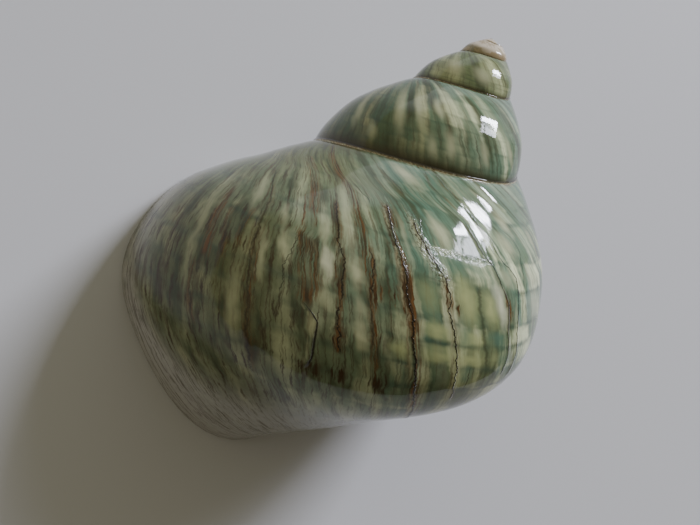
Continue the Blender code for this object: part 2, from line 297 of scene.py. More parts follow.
@dataclass
class ShellForm:
    """The logarithmic spiral of the shell and the outline of its tube, in millimetres."""

    growth_per_whorl: float = 2.104
    centre_out: float = 20.6
    centre_down: float = 59.0
    last_drop: float = 0.7
    change_from: float = 252.0
    outline_degrees: tuple = (-180, -140, -110, -80, -50, -20, 10, 40, 70, 100, 130, 155)
    outline_early: tuple = (28.2, 29.0, 33.1, 26.7, 25.2, 22.9, 19.7, 19.6, 22.4, 31.9, 39.9, 31.8)
    outline_last: tuple = (30.3, 32.3, 37.5, 29.7, 23.3, 22.7, 21.1, 20.5, 21.9, 31.2, 40.1, 32.7)
    axis_rise: float = 27.9
    floor_turn: float = 164.4
    origin: tuple = (-16.34, 0.41)
    foot_plan: tuple = (-38.5, -9.0)
    lip_wall: float = 2.6
    base_wall: float = 1.6
    base_slope: float = 1.6
    base_from: float = 1.5
    base_soft: float = 0.6
    wall_power: float = 0.5
    thinnest_wall: float = 1.3
    callus: float = 0.9
    columella: float = 4.6
    corner_power: float = 6.0
    base_end: float = -125.0
    worn_top: float = -2.5
    worn_radius: float = 2.0
    worn_soft: float = 0.25
    worn_share: float = 0.85
    worn_until: tuple = (-3.3, -2.7)
    suture_search: tuple = (50.0, 200.0, 201)
    lip_search: tuple = (-175.0, 25.0, 401)
    hollow_search: tuple = (0.3, 1.0, 29)
    far_away: float = 400.0

    def __post_init__(self) -> None:
        """Work out the resting plane and the upper end of the lip."""
        self.early = self._closed_curve(self.outline_early)
        self.late_outline = self._closed_curve(self.outline_last)
        rise, turn = math.radians(self.axis_rise), math.radians(self.floor_turn)
        self.up = np.array([math.cos(rise) * math.cos(turn), math.cos(rise) * math.sin(turn), math.sin(rise)])
        across = np.array([0.0, 0.0, 1.0]) - self.up * self.up[2]
        across /= np.linalg.norm(across)
        self.to_floor = np.stack([across, np.cross(self.up, across), self.up])
        self.lip_angle = float(self.suture_angle(np.zeros(1))[0])
        self.lip_start = self.place(0.0, self.lip_angle, self.outline(0.0, self.lip_angle))

    def _closed_curve(self, values: Sequence[float]) -> Curve:
        """Smooth closed curve of distance over angle through the given distances.

        Args:
            values: Distances at outline_degrees.

        Returns:
            Function from an angle in radians to the distance.
        """
        x = np.radians(np.append(self.outline_degrees, self.outline_degrees[0] + 360.0))
        y = np.append(values, values[0]).astype(float)
        count, h = len(values), np.diff(x)
        slope = np.diff(y) / h
        a, b = np.zeros((count, count)), np.zeros(count)
        for i in range(count):
            p = (i - 1) % count
            a[i, p] += h[i]
            a[i, i] += 2.0 * (h[p] + h[i])
            a[i, (i + 1) % count] += h[p]
            b[i] = 3.0 * (h[i] * slope[p] + h[p] * slope[i])
        d = np.linalg.solve(a, b)
        d = np.append(d, d[0])

        def value(angle: np.ndarray) -> np.ndarray:
            """Distance at an angle.

            Args:
                angle: Angle in radians.

            Returns:
                Distance, smooth all the way round.
            """
            t = (np.asarray(angle) - x[0]) % TURN + x[0]
            i = np.clip(np.searchsorted(x, t, side="right") - 1, 0, count - 1)
            u = (t - x[i]) / h[i]
            return ((2 * u - 3) * u * u + 1) * y[i] + ((u - 2) * u + 1) * u * h[i] * d[i] \
                + (3 - 2 * u) * u * u * y[i + 1] + (u - 1) * u * u * h[i] * d[i + 1]

        return value

    def size_at(self, growth: np.ndarray) -> np.ndarray:
        """Size of the tube at a growth angle, 1 at the lip."""
        return np.exp(math.log(self.growth_per_whorl) / TURN * np.asarray(growth))

    def late(self, growth: np.ndarray) -> np.ndarray:
        """0 on the older whorls, rising to 1 at the lip."""
        u = np.clip(1.0 + np.asarray(growth) / math.radians(self.change_from), 0.0, 1.0)
        return u * u * (3.0 - 2.0 * u)

    def outline(self, growth: np.ndarray, angle: np.ndarray) -> np.ndarray:
        """Distance of the outside from the tube centre, for a tube of full size."""
        w = self.late(growth)
        return self.early(angle) * (1.0 - w) + self.late_outline(angle) * w

    def centre(self, growth: np.ndarray) -> tuple[np.ndarray, np.ndarray]:
        """Tube centre: distance from the axis, and height."""
        k = self.size_at(growth)
        return k * self.centre_out, -k * (self.centre_down + self.last_drop * self.late(growth))

    def place(self, growth: np.ndarray, angle: np.ndarray, radius: np.ndarray) -> np.ndarray:
        """Point of the tube in the frame of the coiling axis.

        Args:
            growth: Growth angles, 0 at the lip.
            angle: Angles round the tube.
            radius: Distance from the tube centre at full size.

        Returns:
            Points in millimetres.
        """
        k = self.size_at(growth)
        out, up = self.centre(growth)
        out = out + k * radius * np.cos(angle)
        up = up + k * radius * np.sin(angle)
        return np.stack(np.broadcast_arrays(out * np.cos(-growth), out * np.sin(-growth), up), -1)

    def wear(self, points: np.ndarray, growth: np.ndarray) -> np.ndarray:
        """Points in the frame of the axis with the tip ground down to a low dome.

        Args:
            points: Points in the frame of the axis.
            growth: Their growth angles.

        Returns:
            The ground points.
        """
        spread = points[..., 0] ** 2 + points[..., 1] ** 2
        dome = self.worn_top + self.worn_radius - np.sqrt(self.worn_radius ** 2 + spread)
        proud = points[..., 2] - dome
        over = 0.5 * (proud + np.sqrt(proud * proud + self.worn_soft ** 2))
        low, high = (turns * TURN for turns in self.worn_until)
        u = np.clip((growth - low) / (high - low), 0.0, 1.0)
        worn = points.copy()
        worn[..., 2] -= self.worn_share * (1.0 - u * u * (3.0 - 2.0 * u)) * over
        return worn

    def depth_in_older(self, growth: np.ndarray, angle: np.ndarray, radius: np.ndarray) -> np.ndarray:
        """How far a point of the tube lies inside the whorl before it.

        Args:
            growth: Growth angles, 0 at the lip.
            angle: Angles round the tube.
            radius: Distance from the tube centre at full size.

        Returns:
            Depth in millimetres, below 0 outside.
        """
        k = self.size_at(growth)
        out, up = self.centre(growth)
        out_o, up_o = self.centre(growth - TURN)
        dx = out + k * radius * np.cos(angle) - out_o
        dy = up + k * radius * np.sin(angle) - up_o
        reach = self.size_at(growth - TURN) * self.outline(growth - TURN, np.arctan2(dy, dx))
        return reach - np.hypot(dx, dy)

    @staticmethod
    def _crossing(low: np.ndarray, high: np.ndarray, past: Curve, halvings: int) -> np.ndarray:
        """Place between low and high at which a condition starts to hold.

        Args:
            low: Where it doesn't hold.
            high: Where it holds.
            past: The condition, over places.
            halvings: How often the interval is halved.

        Returns:
            Middle of the last interval.
        """
        for _ in range(halvings):
            middle = 0.5 * (low + high)
            over = past(middle)
            low, high = np.where(over, low, middle), np.where(over, middle, high)
        return 0.5 * (low + high)

    def suture_angle(self, growth: np.ndarray) -> np.ndarray:
        """Angle at which the whorl meets the older one above it.

        Args:
            growth: Growth angles, 0 at the lip.

        Returns:
            Angle for each of them.
        """
        trial = np.radians(np.linspace(*self.suture_search))
        g, a = np.meshgrid(growth, trial, indexing="ij")
        inside = self.depth_in_older(g, a, self.outline(g, a)) > 0.0
        i = np.clip(np.argmax(inside, axis=1), 1, len(trial) - 1)
        return self._crossing(
            trial[i - 1], trial[i],
            lambda middle: self.depth_in_older(growth, middle, self.outline(growth, middle)) > 0.0, 24)

    def above_floor(self, points: np.ndarray) -> np.ndarray:
        """Height over the resting plane of points in the frame of the axis."""
        return (points - self.lip_start) @ self.up

    def lip_growth(self, angle: np.ndarray, radius: Curve, level: float = 0.0) -> np.ndarray:
        """Growth angle at which a surface comes down to a level over the floor.

        Args:
            angle: Section angles.
            radius: Distance of the surface from the tube centre, over growth and angle.
            level: Height of the cut over the floor.

        Returns:
            Growth angles, 0 or less towards the base.
        """
        trial = np.radians(np.linspace(*self.lip_search))
        g, a = np.meshgrid(trial, angle, indexing="ij")
        above = self.above_floor(self.place(g, a, radius(g, a))) > level
        i = np.clip(len(trial) - 1 - np.argmax(above[::-1], axis=0), 0, len(trial) - 2)
        return self._crossing(
            trial[i], trial[i + 1],
            lambda middle: self.above_floor(self.place(middle, angle, radius(middle, angle))) <= level, 28)

    def hollow(self, growth: np.ndarray, angle: np.ndarray) -> np.ndarray:
        """Distance of the hollow's wall from the tube centre, for a tube of full size.

        Args:
            growth: Growth angles, 0 at the lip.
            angle: Angles round the tube.

        Returns:
            Distances that keep clear of the outside, the pillar and the older whorl.
        """
        growth, angle = np.broadcast_arrays(growth, angle)
        k = self.size_at(growth)
        wall = np.maximum(self.lip_wall * k ** self.wall_power, self.thinnest_wall) / k
        lower = -np.sin(angle) * self.base_slope - np.cos(angle)
        below = np.clip(lower - self.base_from, 0.0, self.base_soft) / self.base_soft
        outer = self.outline(growth, angle) - wall - self.base_wall * below
        turned = np.cos(angle) < -0.05
        pillar = np.where(turned, (self.centre_out - self.columella) / np.maximum(-np.cos(angle), 0.05),
                          self.far_away)
        part = np.linspace(*self.hollow_search)
        glaze = -self.callus * k ** self.wall_power
        hit = np.stack([self.depth_in_older(growth, angle, outer * f) for f in part]) > glaze
        i = np.clip(np.argmax(hit, axis=0), 1, len(part) - 1)
        share = self._crossing(part[i - 1], part[i],
                               lambda middle: self.depth_in_older(growth, angle, outer * middle) > glaze, 10)
        older = np.where(hit.any(axis=0), outer * share, self.far_away)
        p = self.corner_power
        return (outer ** -p + pillar ** -p + older ** -p) ** (-1.0 / p)


@dataclass
class GrowthGrid:
    """Fine grid of growth lines over the shell; each point knows its place in the spiral rule."""

    form: ShellForm
    columns_per_turn: int = 480
    whorls: float = 4.25
    rows: int = 36
    base_rows: int = 22
    lag_degrees: float = 67.5
    row_crowding: float = 0.7
    floor_clear: float = 0.03
    hollow_turns: float = 1.55
    hollow_step: float = 4.0
    inner_lag: float = -6.0
    inner_power: float = 2.2
    inner_swell: float = 0.22
    lifted_from: float = 200.0
    closing_rings: float = 12.0
    mouth_rings: tuple = (0.08, 0.3, 0.55, 0.8, 0.94)
    mouth_soft: float = 0.3
    tip_rings: int = 3
    trial_rows: int = 600
    shoulder_near: float = -36.0
    shoulder_reach: int = 60
    cover_turns: float = 0.35
    side_turns: float = 0.5
    relief_turns: float = 0.25
    relief_across: tuple = (0.0, 0.045)
    relief_base: tuple = (1.45, 1.9)
    relief_covered: tuple = (0.93, 1.0)
    seam_side: float = 0.3
    lip_fade: float = 8.0
    wall_fade: float = 24.0
    cord_edges: tuple = (0.0, 0.12, 0.21, 0.295, 0.485, 0.605, 0.67, 0.75, 0.83, 0.915, 1.0)
    cord_heights: tuple = (0.05, 0.05, 0.06, 0.34, 0.12, 0.05, 0.06, 0.06, 0.06, 0.05)
    points: dict = field(default_factory=dict)

    NUMBERS = ("growth", "section", "reach", "footward", "lifted", "least", "line", "across", "relief", "seam",
               "pressed")
    STORED = NUMBERS + ("aside", "side")

    def __post_init__(self) -> None:
        """Set up the marks across a growth line and the columns along the spiral."""
        self.step = TURN / self.columns_per_turn
        self.lag_columns = round(self.lag_degrees / 360.0 * self.columns_per_turn)
        self.lead = self.columns_per_turn - self.lag_columns
        self.count = round(self.whorls * self.columns_per_turn)
        self.first = self.count - self.lead
        self.growth = -self.step * np.arange(self.count, -1, -1)
        self.foot_row = self.rows + self.base_rows
        self._mark_rows()

    def _mark_rows(self) -> None:
        """Section angle, growth lag and share across for each row of a growth line."""
        form = self.form
        fine = np.linspace(form.lip_angle, math.radians(form.base_end), self.trial_rows)
        lag = form.lip_growth(fine, form.outline)
        lag[0] = 0.0
        curve = form.place(lag, fine, form.outline(lag, fine))
        run = np.append(0.0, np.cumsum(np.linalg.norm(np.diff(curve, axis=0), axis=1)))
        near = int(np.argmin(np.abs(fine - math.radians(self.shoulder_near)))) + self.shoulder_reach
        self.shoulder = float(np.interp(math.radians(self.lag_degrees), -lag[:near], fine[:near]))
        cut = float(np.interp(-self.shoulder, -fine, run))
        t = np.linspace(0.0, 1.0, self.rows + 1)
        upper = (t - self.row_crowding * np.sin(TURN * t) / TURN) * cut
        lower = np.linspace(cut, run[-1], self.base_rows + 1)[1:]
        self.across = np.concatenate([upper / cut, 1.0 + (lower - cut) / (run[-1] - cut)])
        self.angles = np.interp(np.append(upper, lower), run, fine)
        self.angles[self.rows] = self.shoulder
        self.lags = form.lip_growth(self.angles, form.outline)
        self.lags[0] = 0.0
        self.lags[self.rows] = -math.radians(self.lag_degrees)

    def _columns(self) -> None:
        """Place in the spiral rule of every point of the outside."""
        form, rows, foot_row = self.form, self.rows, self.foot_row
        growth, lead, first = self.growth, self.lead, self.first
        top = form.suture_angle(growth)
        start = form.place(growth, top, form.outline(growth, top))
        shoulder_growth = growth + self.lags[rows]
        out, up = form.centre(shoulder_growth)
        meet = start[np.minimum(np.arange(self.count + 1) + lead, self.count)]
        cover = np.arctan2(meet[:, 2] - up, np.hypot(meet[:, 0], meet[:, 1]) - out)
        since = np.arange(self.count + 1) - first
        ramp = np.clip(since / (self.cover_turns * self.columns_per_turn), 0.0, 1.0)
        cover = np.where(ramp > 0.0, cover[first] + (self.shoulder - cover[first]) * ramp, cover)
        pull = (2.0 + 6.0 * self._ease(since / self.columns_per_turn, 0.0, self.side_turns))[:, None]
        upper = (self.angles[:rows + 1] - self.angles[0]) / (self.shoulder - self.angles[0])
        lower = (self.angles[rows + 1:] - self.shoulder) / (self.angles[-1] - self.shoulder)
        angle = np.concatenate([
            top[:, None] + upper * (cover - top)[:, None],
            cover[:, None] + lower * (self.angles[-1] - cover)[:, None]], axis=1)
        lag = np.concatenate([
            np.broadcast_to(self.lags[:rows + 1], (self.count + 1, rows + 1)),
            self.lags[rows] + ramp[:, None] * (self.lags[rows + 1:] - self.lags[rows])], axis=1)
        place_growth = growth[:, None] + lag
        share = np.clip((np.arange(foot_row + 1) - rows) / self.base_rows, 0.0, 1.0)
        footward = np.where(share > 0.0, share ** pull, 0.0)
        lifted = np.zeros_like(angle)
        lifted[first:first + self.columns_per_turn // 2, 1:foot_row] = 1.0
        column = np.arange(self.count + 1)[:, None]
        late = np.clip((column - first) / (self.relief_turns * self.columns_per_turn), 0.0, 1.0)
        to_lip = np.clip((self.count - column) / self.lip_fade, 0.0, 1.0)
        from_wall = np.where(self.across > 1.0, np.clip((column - first) / self.wall_fade, 0.0, 1.0), 1.0)
        covered = 1.0 - (1.0 - late) * self._ease(self.across, *self.relief_covered)
        away = self._ease(self.across, *self.relief_across) * (1.0 - self._ease(self.across, *self.relief_base))
        relief = away * np.where(self.across > 1.0, 1.0, covered) * to_lip * from_wall
        seam = np.where(self.across < self.seam_side, 1.0, 0.0) * to_lip
        reach = form.outline(place_growth, angle) + self._cords() * to_lip * form.size_at(place_growth) ** 0.5
        self.points = {
            "growth": place_growth, "section": angle, "reach": reach,
            "footward": footward, "lifted": lifted, "least": np.full_like(angle, self.floor_clear),
            "line": np.broadcast_to(growth[:, None], angle.shape),
            "across": np.broadcast_to(self.across, angle.shape), "relief": relief, "seam": seam,
        }

    def _cords(self) -> np.ndarray:
        """Low spiral cords across the whorl, in millimetres at full size.

        Returns:
            Height of the cord for each row.
        """
        swell = np.zeros_like(self.across)
        for low, high, height in zip(self.cord_edges[:-1], self.cord_edges[1:], self.cord_heights):
            u = np.clip((self.across - low) / (high - low), 0.0, 1.0)
            swell += height * 4.0 * u * (1.0 - u)
        return swell

    @staticmethod
    def _ease(value: np.ndarray, low: float, high: float) -> np.ndarray:
        """Smooth step from 0 at low to 1 at high."""
        u = np.clip((value - low) / (high - low), 0.0, 1.0)
        return u * u * (3.0 - 2.0 * u)

    def rest_place(self, growth: np.ndarray, section: np.ndarray, reach: np.ndarray, footward: np.ndarray,
                   lifted: np.ndarray, least: np.ndarray, soft: float = 1.0) -> np.ndarray:
        """Point of the shell in the resting frame, in millimetres, as the node tree places it.

        Args:
            growth: Growth angle.
            section: Angle round the tube.
            reach: Distance from the tube centre at full size.
            footward: Share of the way to the lip's foot.
            lifted: Share of the lift clear of the floor.
            least: Lowest height of a lifted point.
            soft: How softly the lift sets in.

        Returns:
            Points in millimetres.
        """
        form = self.form
        p = form.wear(form.place(growth, section, reach), growth)
        p = (p - form.lip_start) @ form.to_floor.T - np.array([*form.origin, 0.0])
        foot = np.array([form.foot_plan[0] - form.origin[0], form.foot_plan[1] - form.origin[1], 0.0])
        p = p + np.asarray(footward)[..., None] * (foot - p)
        h = p[..., 2] - least
        raised = least + 0.5 * (h + np.sqrt(h * h + soft * soft))
        p[..., 2] += lifted * (raised - p[..., 2])
        return p

    def build(self) -> bpy.types.Mesh:
        """Unrolled grid with the attributes that the spiral rule reads.

        Returns:
            Mesh whose points still lie flat: growth along X, share across along Y.
        """
        self._columns()
        table = {name: [] for name in (*self.NUMBERS, "aside")}
        faces: list[tuple] = []
        corner_line: list[float] = []
        corner_across: list[float] = []
        face_side: list[int] = []
        total = 0

        def add(**values: np.ndarray) -> np.ndarray:
            """Append points and give their numbers in the shape of the first value.

            Args:
                values: Growth values by name; those left out are 0.

            Returns:
                Numbers of the new points.
            """
            nonlocal total
            shape = np.shape(values["growth"])
            size = int(np.prod(shape)) if shape else 1
            for name in self.NUMBERS:
                table[name].append(np.broadcast_to(values.get(name, 0.0), shape).reshape(-1))
            table["aside"].append(np.broadcast_to(values.get("aside", np.zeros(3)), shape + (3,)).reshape(-1, 3))
            total += size
            return np.arange(total - size, total).reshape(shape)

        def sheet(number: np.ndarray, line: np.ndarray, across: np.ndarray, side: Side) -> None:
            """Quads between the rows and columns of a block of point numbers.

            Args:
                number: Point numbers.
                line: Growth line at each.
                across: Share across at each.
                side: Finish that the quads get.
            """
            corners = [np.stack([block[:-1, :-1], block[:-1, 1:], block[1:, 1:], block[1:, :-1]],
                                -1).reshape(-1, 4).tolist() for block in (number, line, across)]
            for quad, ln, ac in zip(*corners):
                keep = [i for i in range(4) if quad[i] != quad[i - 1]]
                if len(keep) > 2 and len({quad[i] for i in keep}) == len(keep):
                    faces.append(tuple(quad[i] for i in keep))
                    corner_line.extend(ln[i] for i in keep)
                    corner_across.extend(ac[i] for i in keep)
                    face_side.append(side.value)

        rows, foot_row, first, lead, count = self.rows, self.foot_row, self.first, self.lead, self.count
        number = np.zeros((count + 1, foot_row + 1), int)
        number[:, :rows] = add(**self._pick(slice(None), slice(rows)))
        number[:first + 1, rows] = number[lead:count + 1, 0]
        number[first:, rows + 1:foot_row] = add(**self._pick(slice(first, None), slice(rows + 1, foot_row)))
        number[first + 1:, rows] = add(**self._pick(slice(first + 1, None), rows))
        number[first:, foot_row] = add(**self._pick(slice(count, count + 1), foot_row))[0]
        line, across = self.points["line"], self.points["across"]
        sheet(number[:first + 1, :rows + 1], line[:first + 1, :rows + 1], across[:first + 1, :rows + 1],
              Side.OUTSIDE)
        sheet(number[first:], line[first:], across[first:], Side.OUTSIDE)
        self._tip(number, add, sheet)
        self._mouth(number, add, sheet)
        return self._to_mesh(table, faces, corner_line, corner_across, face_side)

    def _pick(self, columns: Union[int, slice, np.ndarray], rows: Union[int, slice, np.ndarray]) -> dict:
        """Growth values of some points of the outside."""
        return {name: value[columns, rows] for name, value in self.points.items()}

    def _tip(self, number: np.ndarray, add: Callable, sheet: Callable) -> None:
        """Close the first growth line with rings down to one point.

        Args:
            number: Point numbers of the outside, by growth line and row.
            add: Appends points.
            sheet: Appends quads.
        """
        columns = np.append(np.arange(self.lead), np.zeros(self.rows, int))
        rows = np.append(np.zeros(self.lead, int), np.arange(self.rows, 0, -1))
        loop = number[columns, rows]
        values = self._pick(columns, rows)
        values["growth"][self.lead] = self.growth[self.lead]
        values["section"][self.lead] = self.points["section"][self.lead, 0]
        values["reach"][self.lead] = self.points["reach"][self.lead, 0]
        zero = np.zeros(len(loop))
        place = self.rest_place(values["growth"], values["section"], values["reach"], zero, zero, zero)
        middle = place.mean(axis=0)
        layers = [loop]
        for ring in range(1, self.tip_rings + 1):
            share = ring / (self.tip_rings + 1)
            layers.append(add(growth=values["growth"], section=values["section"], reach=values["reach"],
                              line=values["line"], across=values["across"], aside=share * (middle - place)))
        centre = add(growth=values["growth"][:1], section=values["section"][:1], reach=values["reach"][:1],
                     line=values["line"][:1], across=values["across"][:1], aside=(middle - place[0])[None])
        layers.append(np.full(len(loop), centre[0]))
        block = np.stack([np.append(layer, layer[0]) for layer in layers])
        flat = np.full(block.shape, self.growth[0])
        sheet(block, flat, np.full(block.shape, 0.5), Side.OUTSIDE)

    def _mouth(self, number: np.ndarray, add: Callable, sheet: Callable) -> None:
        """Flat lip, swollen glaze edge and hollow, down to the hollow's closed end.

        Args:
            number: Point numbers of the outside, by growth line and row.
            add: Appends points.
            sheet: Appends quads.
        """
        form, foot_row, first, count = self.form, self.foot_row, self.first, self.count
        outer = self.angles.copy()
        outer[0] = 0.5 * (outer[0] + outer[4])
        outer[1:4] = outer[0] + (outer[4] - outer[0]) * np.array([0.25, 0.5, 0.75])
        inner = np.linspace(outer[-1] + TURN, outer[0], self.base_rows + 1)[1:-1]
        lag_out = form.lip_growth(outer, form.hollow)
        u = np.linspace(0.0, 1.0, self.base_rows + 1)[1:-1]
        inward = 1.0 - (1.0 - u) ** self.inner_power
        lag_in = lag_out[-1] + (math.radians(self.inner_lag) - lag_out[-1]) * inward
        angles, lags = np.append(outer, inner), np.append(lag_out, lag_in)
        rings = round(self.hollow_turns * 360.0 / self.hollow_step)
        step = np.arange(rings)[:, None] * math.radians(self.hollow_step)
        growth = lags[None, :] - step
        section = np.broadcast_to(angles, growth.shape)
        near_end = np.clip(1.0 - (rings - np.arange(rings)) / self.closing_rings, 0.0, 0.995)[:, None]
        reach = form.hollow(growth, section) * np.sqrt(1.0 - near_end ** 2)
        deep = np.broadcast_to(step > math.radians(self.lifted_from), growth.shape)
        pressed = np.zeros(growth.shape)
        pressed[0, :len(outer)] = 1.0
        least = form.thinnest_wall + self.floor_clear
        place = self.rest_place(growth[0], section[0], reach[0], 0.0, 0.0, 0.0)
        place[:len(outer), 2] = 0.0
        pressed[0, place[:, 2] < 0.0] = 1.0
        place[:, 2] = np.maximum(place[:, 2], 0.0)
        hollow = add(growth=growth, section=section, reach=reach, lifted=np.where(deep, 1.0, 0.0), least=least,
                     pressed=pressed, line=growth, across=np.full(growth.shape, 0.5))
        columns = np.append(np.full(foot_row + 1, count), np.full(self.base_rows - 1, first))
        rows = np.append(np.arange(foot_row + 1), np.arange(foot_row - 1, self.rows, -1))
        mouth = number[columns, rows]
        p = self._pick(columns, rows)
        rim = self.rest_place(p["growth"], p["section"], p["reach"], p["footward"], p["lifted"], p["least"])
        width = np.linalg.norm(rim - place, axis=1)[:, None]
        layers = [mouth]
        shape = dict(growth=growth[0], section=section[0], reach=reach[0])
        bare = self.rest_place(growth[0], section[0], reach[0], 0.0, 0.0, 0.0)
        inward = np.arange(len(mouth)) > foot_row
        for share in self.mouth_rings:
            between = rim + share * (place - rim)
            arch = math.sin(math.pi * share) * self.inner_swell * width[:, 0]
            h = between[:, 2] - arch - self.floor_clear
            raised = self.floor_clear + 0.5 * (h + np.sqrt(h * h + self.mouth_soft ** 2))
            between[:, 2] = np.where(inward, raised, 0.0)
            layers.append(add(aside=between - bare, **shape))
        block = np.concatenate([np.stack(layers), hollow])
        block = np.concatenate([block, block[:, :1]], axis=1)
        flat = np.zeros(block.shape)
        sheet(block, flat, flat, Side.INSIDE)
        end = add(growth=growth[-1, :1], section=section[-1, :1], reach=np.zeros(1), lifted=1.0, least=least)
        cap = np.stack([block[-1], np.full(block.shape[1], end[0])])
        sheet(cap, np.zeros(cap.shape), np.zeros(cap.shape), Side.INSIDE)

    def _to_mesh(self, table: dict, faces: list, line: list, across: list, side: list) -> bpy.types.Mesh:
        """Mesh with its attributes from the collected lists.

        Args:
            table: Lists of point values by name.
            faces: Point numbers of each face.
            line: Growth line at each corner.
            across: Share across at each corner.
            side: Finish of each face.

        Returns:
            The flat mesh.
        """
        values = {name: np.concatenate(parts) for name, parts in table.items()}
        flat = np.stack([values["line"], values["across"], np.zeros(len(values["line"]))], -1) * MM
        mesh = bpy.data.meshes.new("shell_grid")
        mesh.from_pydata(flat.tolist(), [], faces)
        for name, value in values.items():
            kind = "FLOAT_VECTOR" if name == "aside" else "FLOAT"
            store = mesh.attributes.new(name, kind, "POINT")
            store.data.foreach_set("vector" if name == "aside" else "value", value.astype(np.float32).ravel())
        store = mesh.attributes.new("side", "FLOAT", "FACE")
        store.data.foreach_set("value", np.array(side, np.float32))
        uv = mesh.uv_layers.new(name="growth_map")
        pairs = np.stack([np.array(line) / TURN, np.array(across)], -1).astype(np.float32)
        uv.data.foreach_set("uv", pairs.ravel())
        for face in mesh.polygons:
            face.use_smooth = True
        return mesh


@dataclass(frozen=True)
class GrowthBreak:
    """A stop in growth that left a crack or a dark edge, near one growth line of the last whorl."""

    course: tuple          # (share across, turns back from the lip) of points along it
    crack: float           # strength of the thin dark crack
    width: float = 0.30    # millimetres to each side in which the crack fades
    stain: float = 0.0     # strength of the brown stain beside it
    spread: float = 1.1    # millimetres to each side in which the stain fades
    groove: float = 0.0    # depth as a share of the depth of a crack
    jag: float = 1.0       # how much it wanders
    scuff: float = 0.0     # millimetres to each side in which the skin is pitted

    def distance(self, bench: Bench, turns: Term, across: Term, jag: Term, millimetres: float) -> Term:
        """Millimetres from the break, along the spiral."""
        home = bench.curve(across, self.course, sharp=True)
        return (turns - home) * millimetres + jag * self.jag

    def window(self, across: Term) -> Term:
        """1 along the length of the break, fading at both ends."""
        start, end = self.course[0][0], self.course[-1][0]
        return across.within(start - 0.012, start + 0.02, end - 0.02, end + 0.012)


class Tint(Enum):
    """Colour of a single mark."""

    WHITE = "white"
    CREAM = "cream"
    YELLOW = "yellow"
    TEAL = "teal"
    DARK = "dark"
    RUST = "rust"


@dataclass(frozen=True)
class Blotch:
    """A single soft mark between two growth lines and two shares across."""

    tint: Tint
    turns_from: float
    turns_to: float
    across_from: float
    across_to: float
    strength: float
    reach: float = 1.45    # in half widths, where the mark has faded to nothing
    gain: float = 1.25     # strength in its middle, of which the share above 1 is cut off

    def cover(self, bench: Bench, place: Term) -> Term:
        """Share of the colour that the mark takes at a place of turns and across.

        Args:
            bench: Tree to build in.
            place: Turns and share across.

        Returns:
            The share, which may pass 1.
        """
        spans = ((self.turns_from, self.turns_to), (self.across_from, self.across_to))
        swell = 1.3 if self.tint is Tint.RUST else 1.1
        half = [0.5 * (high - low) * swell for low, high in spans]
        middle = [0.5 * (high + low) for low, high in spans]
        moved = bench.vector("MULTIPLY_ADD", place, (1.0 / half[0], 1.0 / half[1], 0.0),
                             (-middle[0] / half[0], -middle[1] / half[1], 0.0))
        return bench.vector("LENGTH", moved, output="Value").smooth(self.reach, 0.0) * self.strength * self.gain


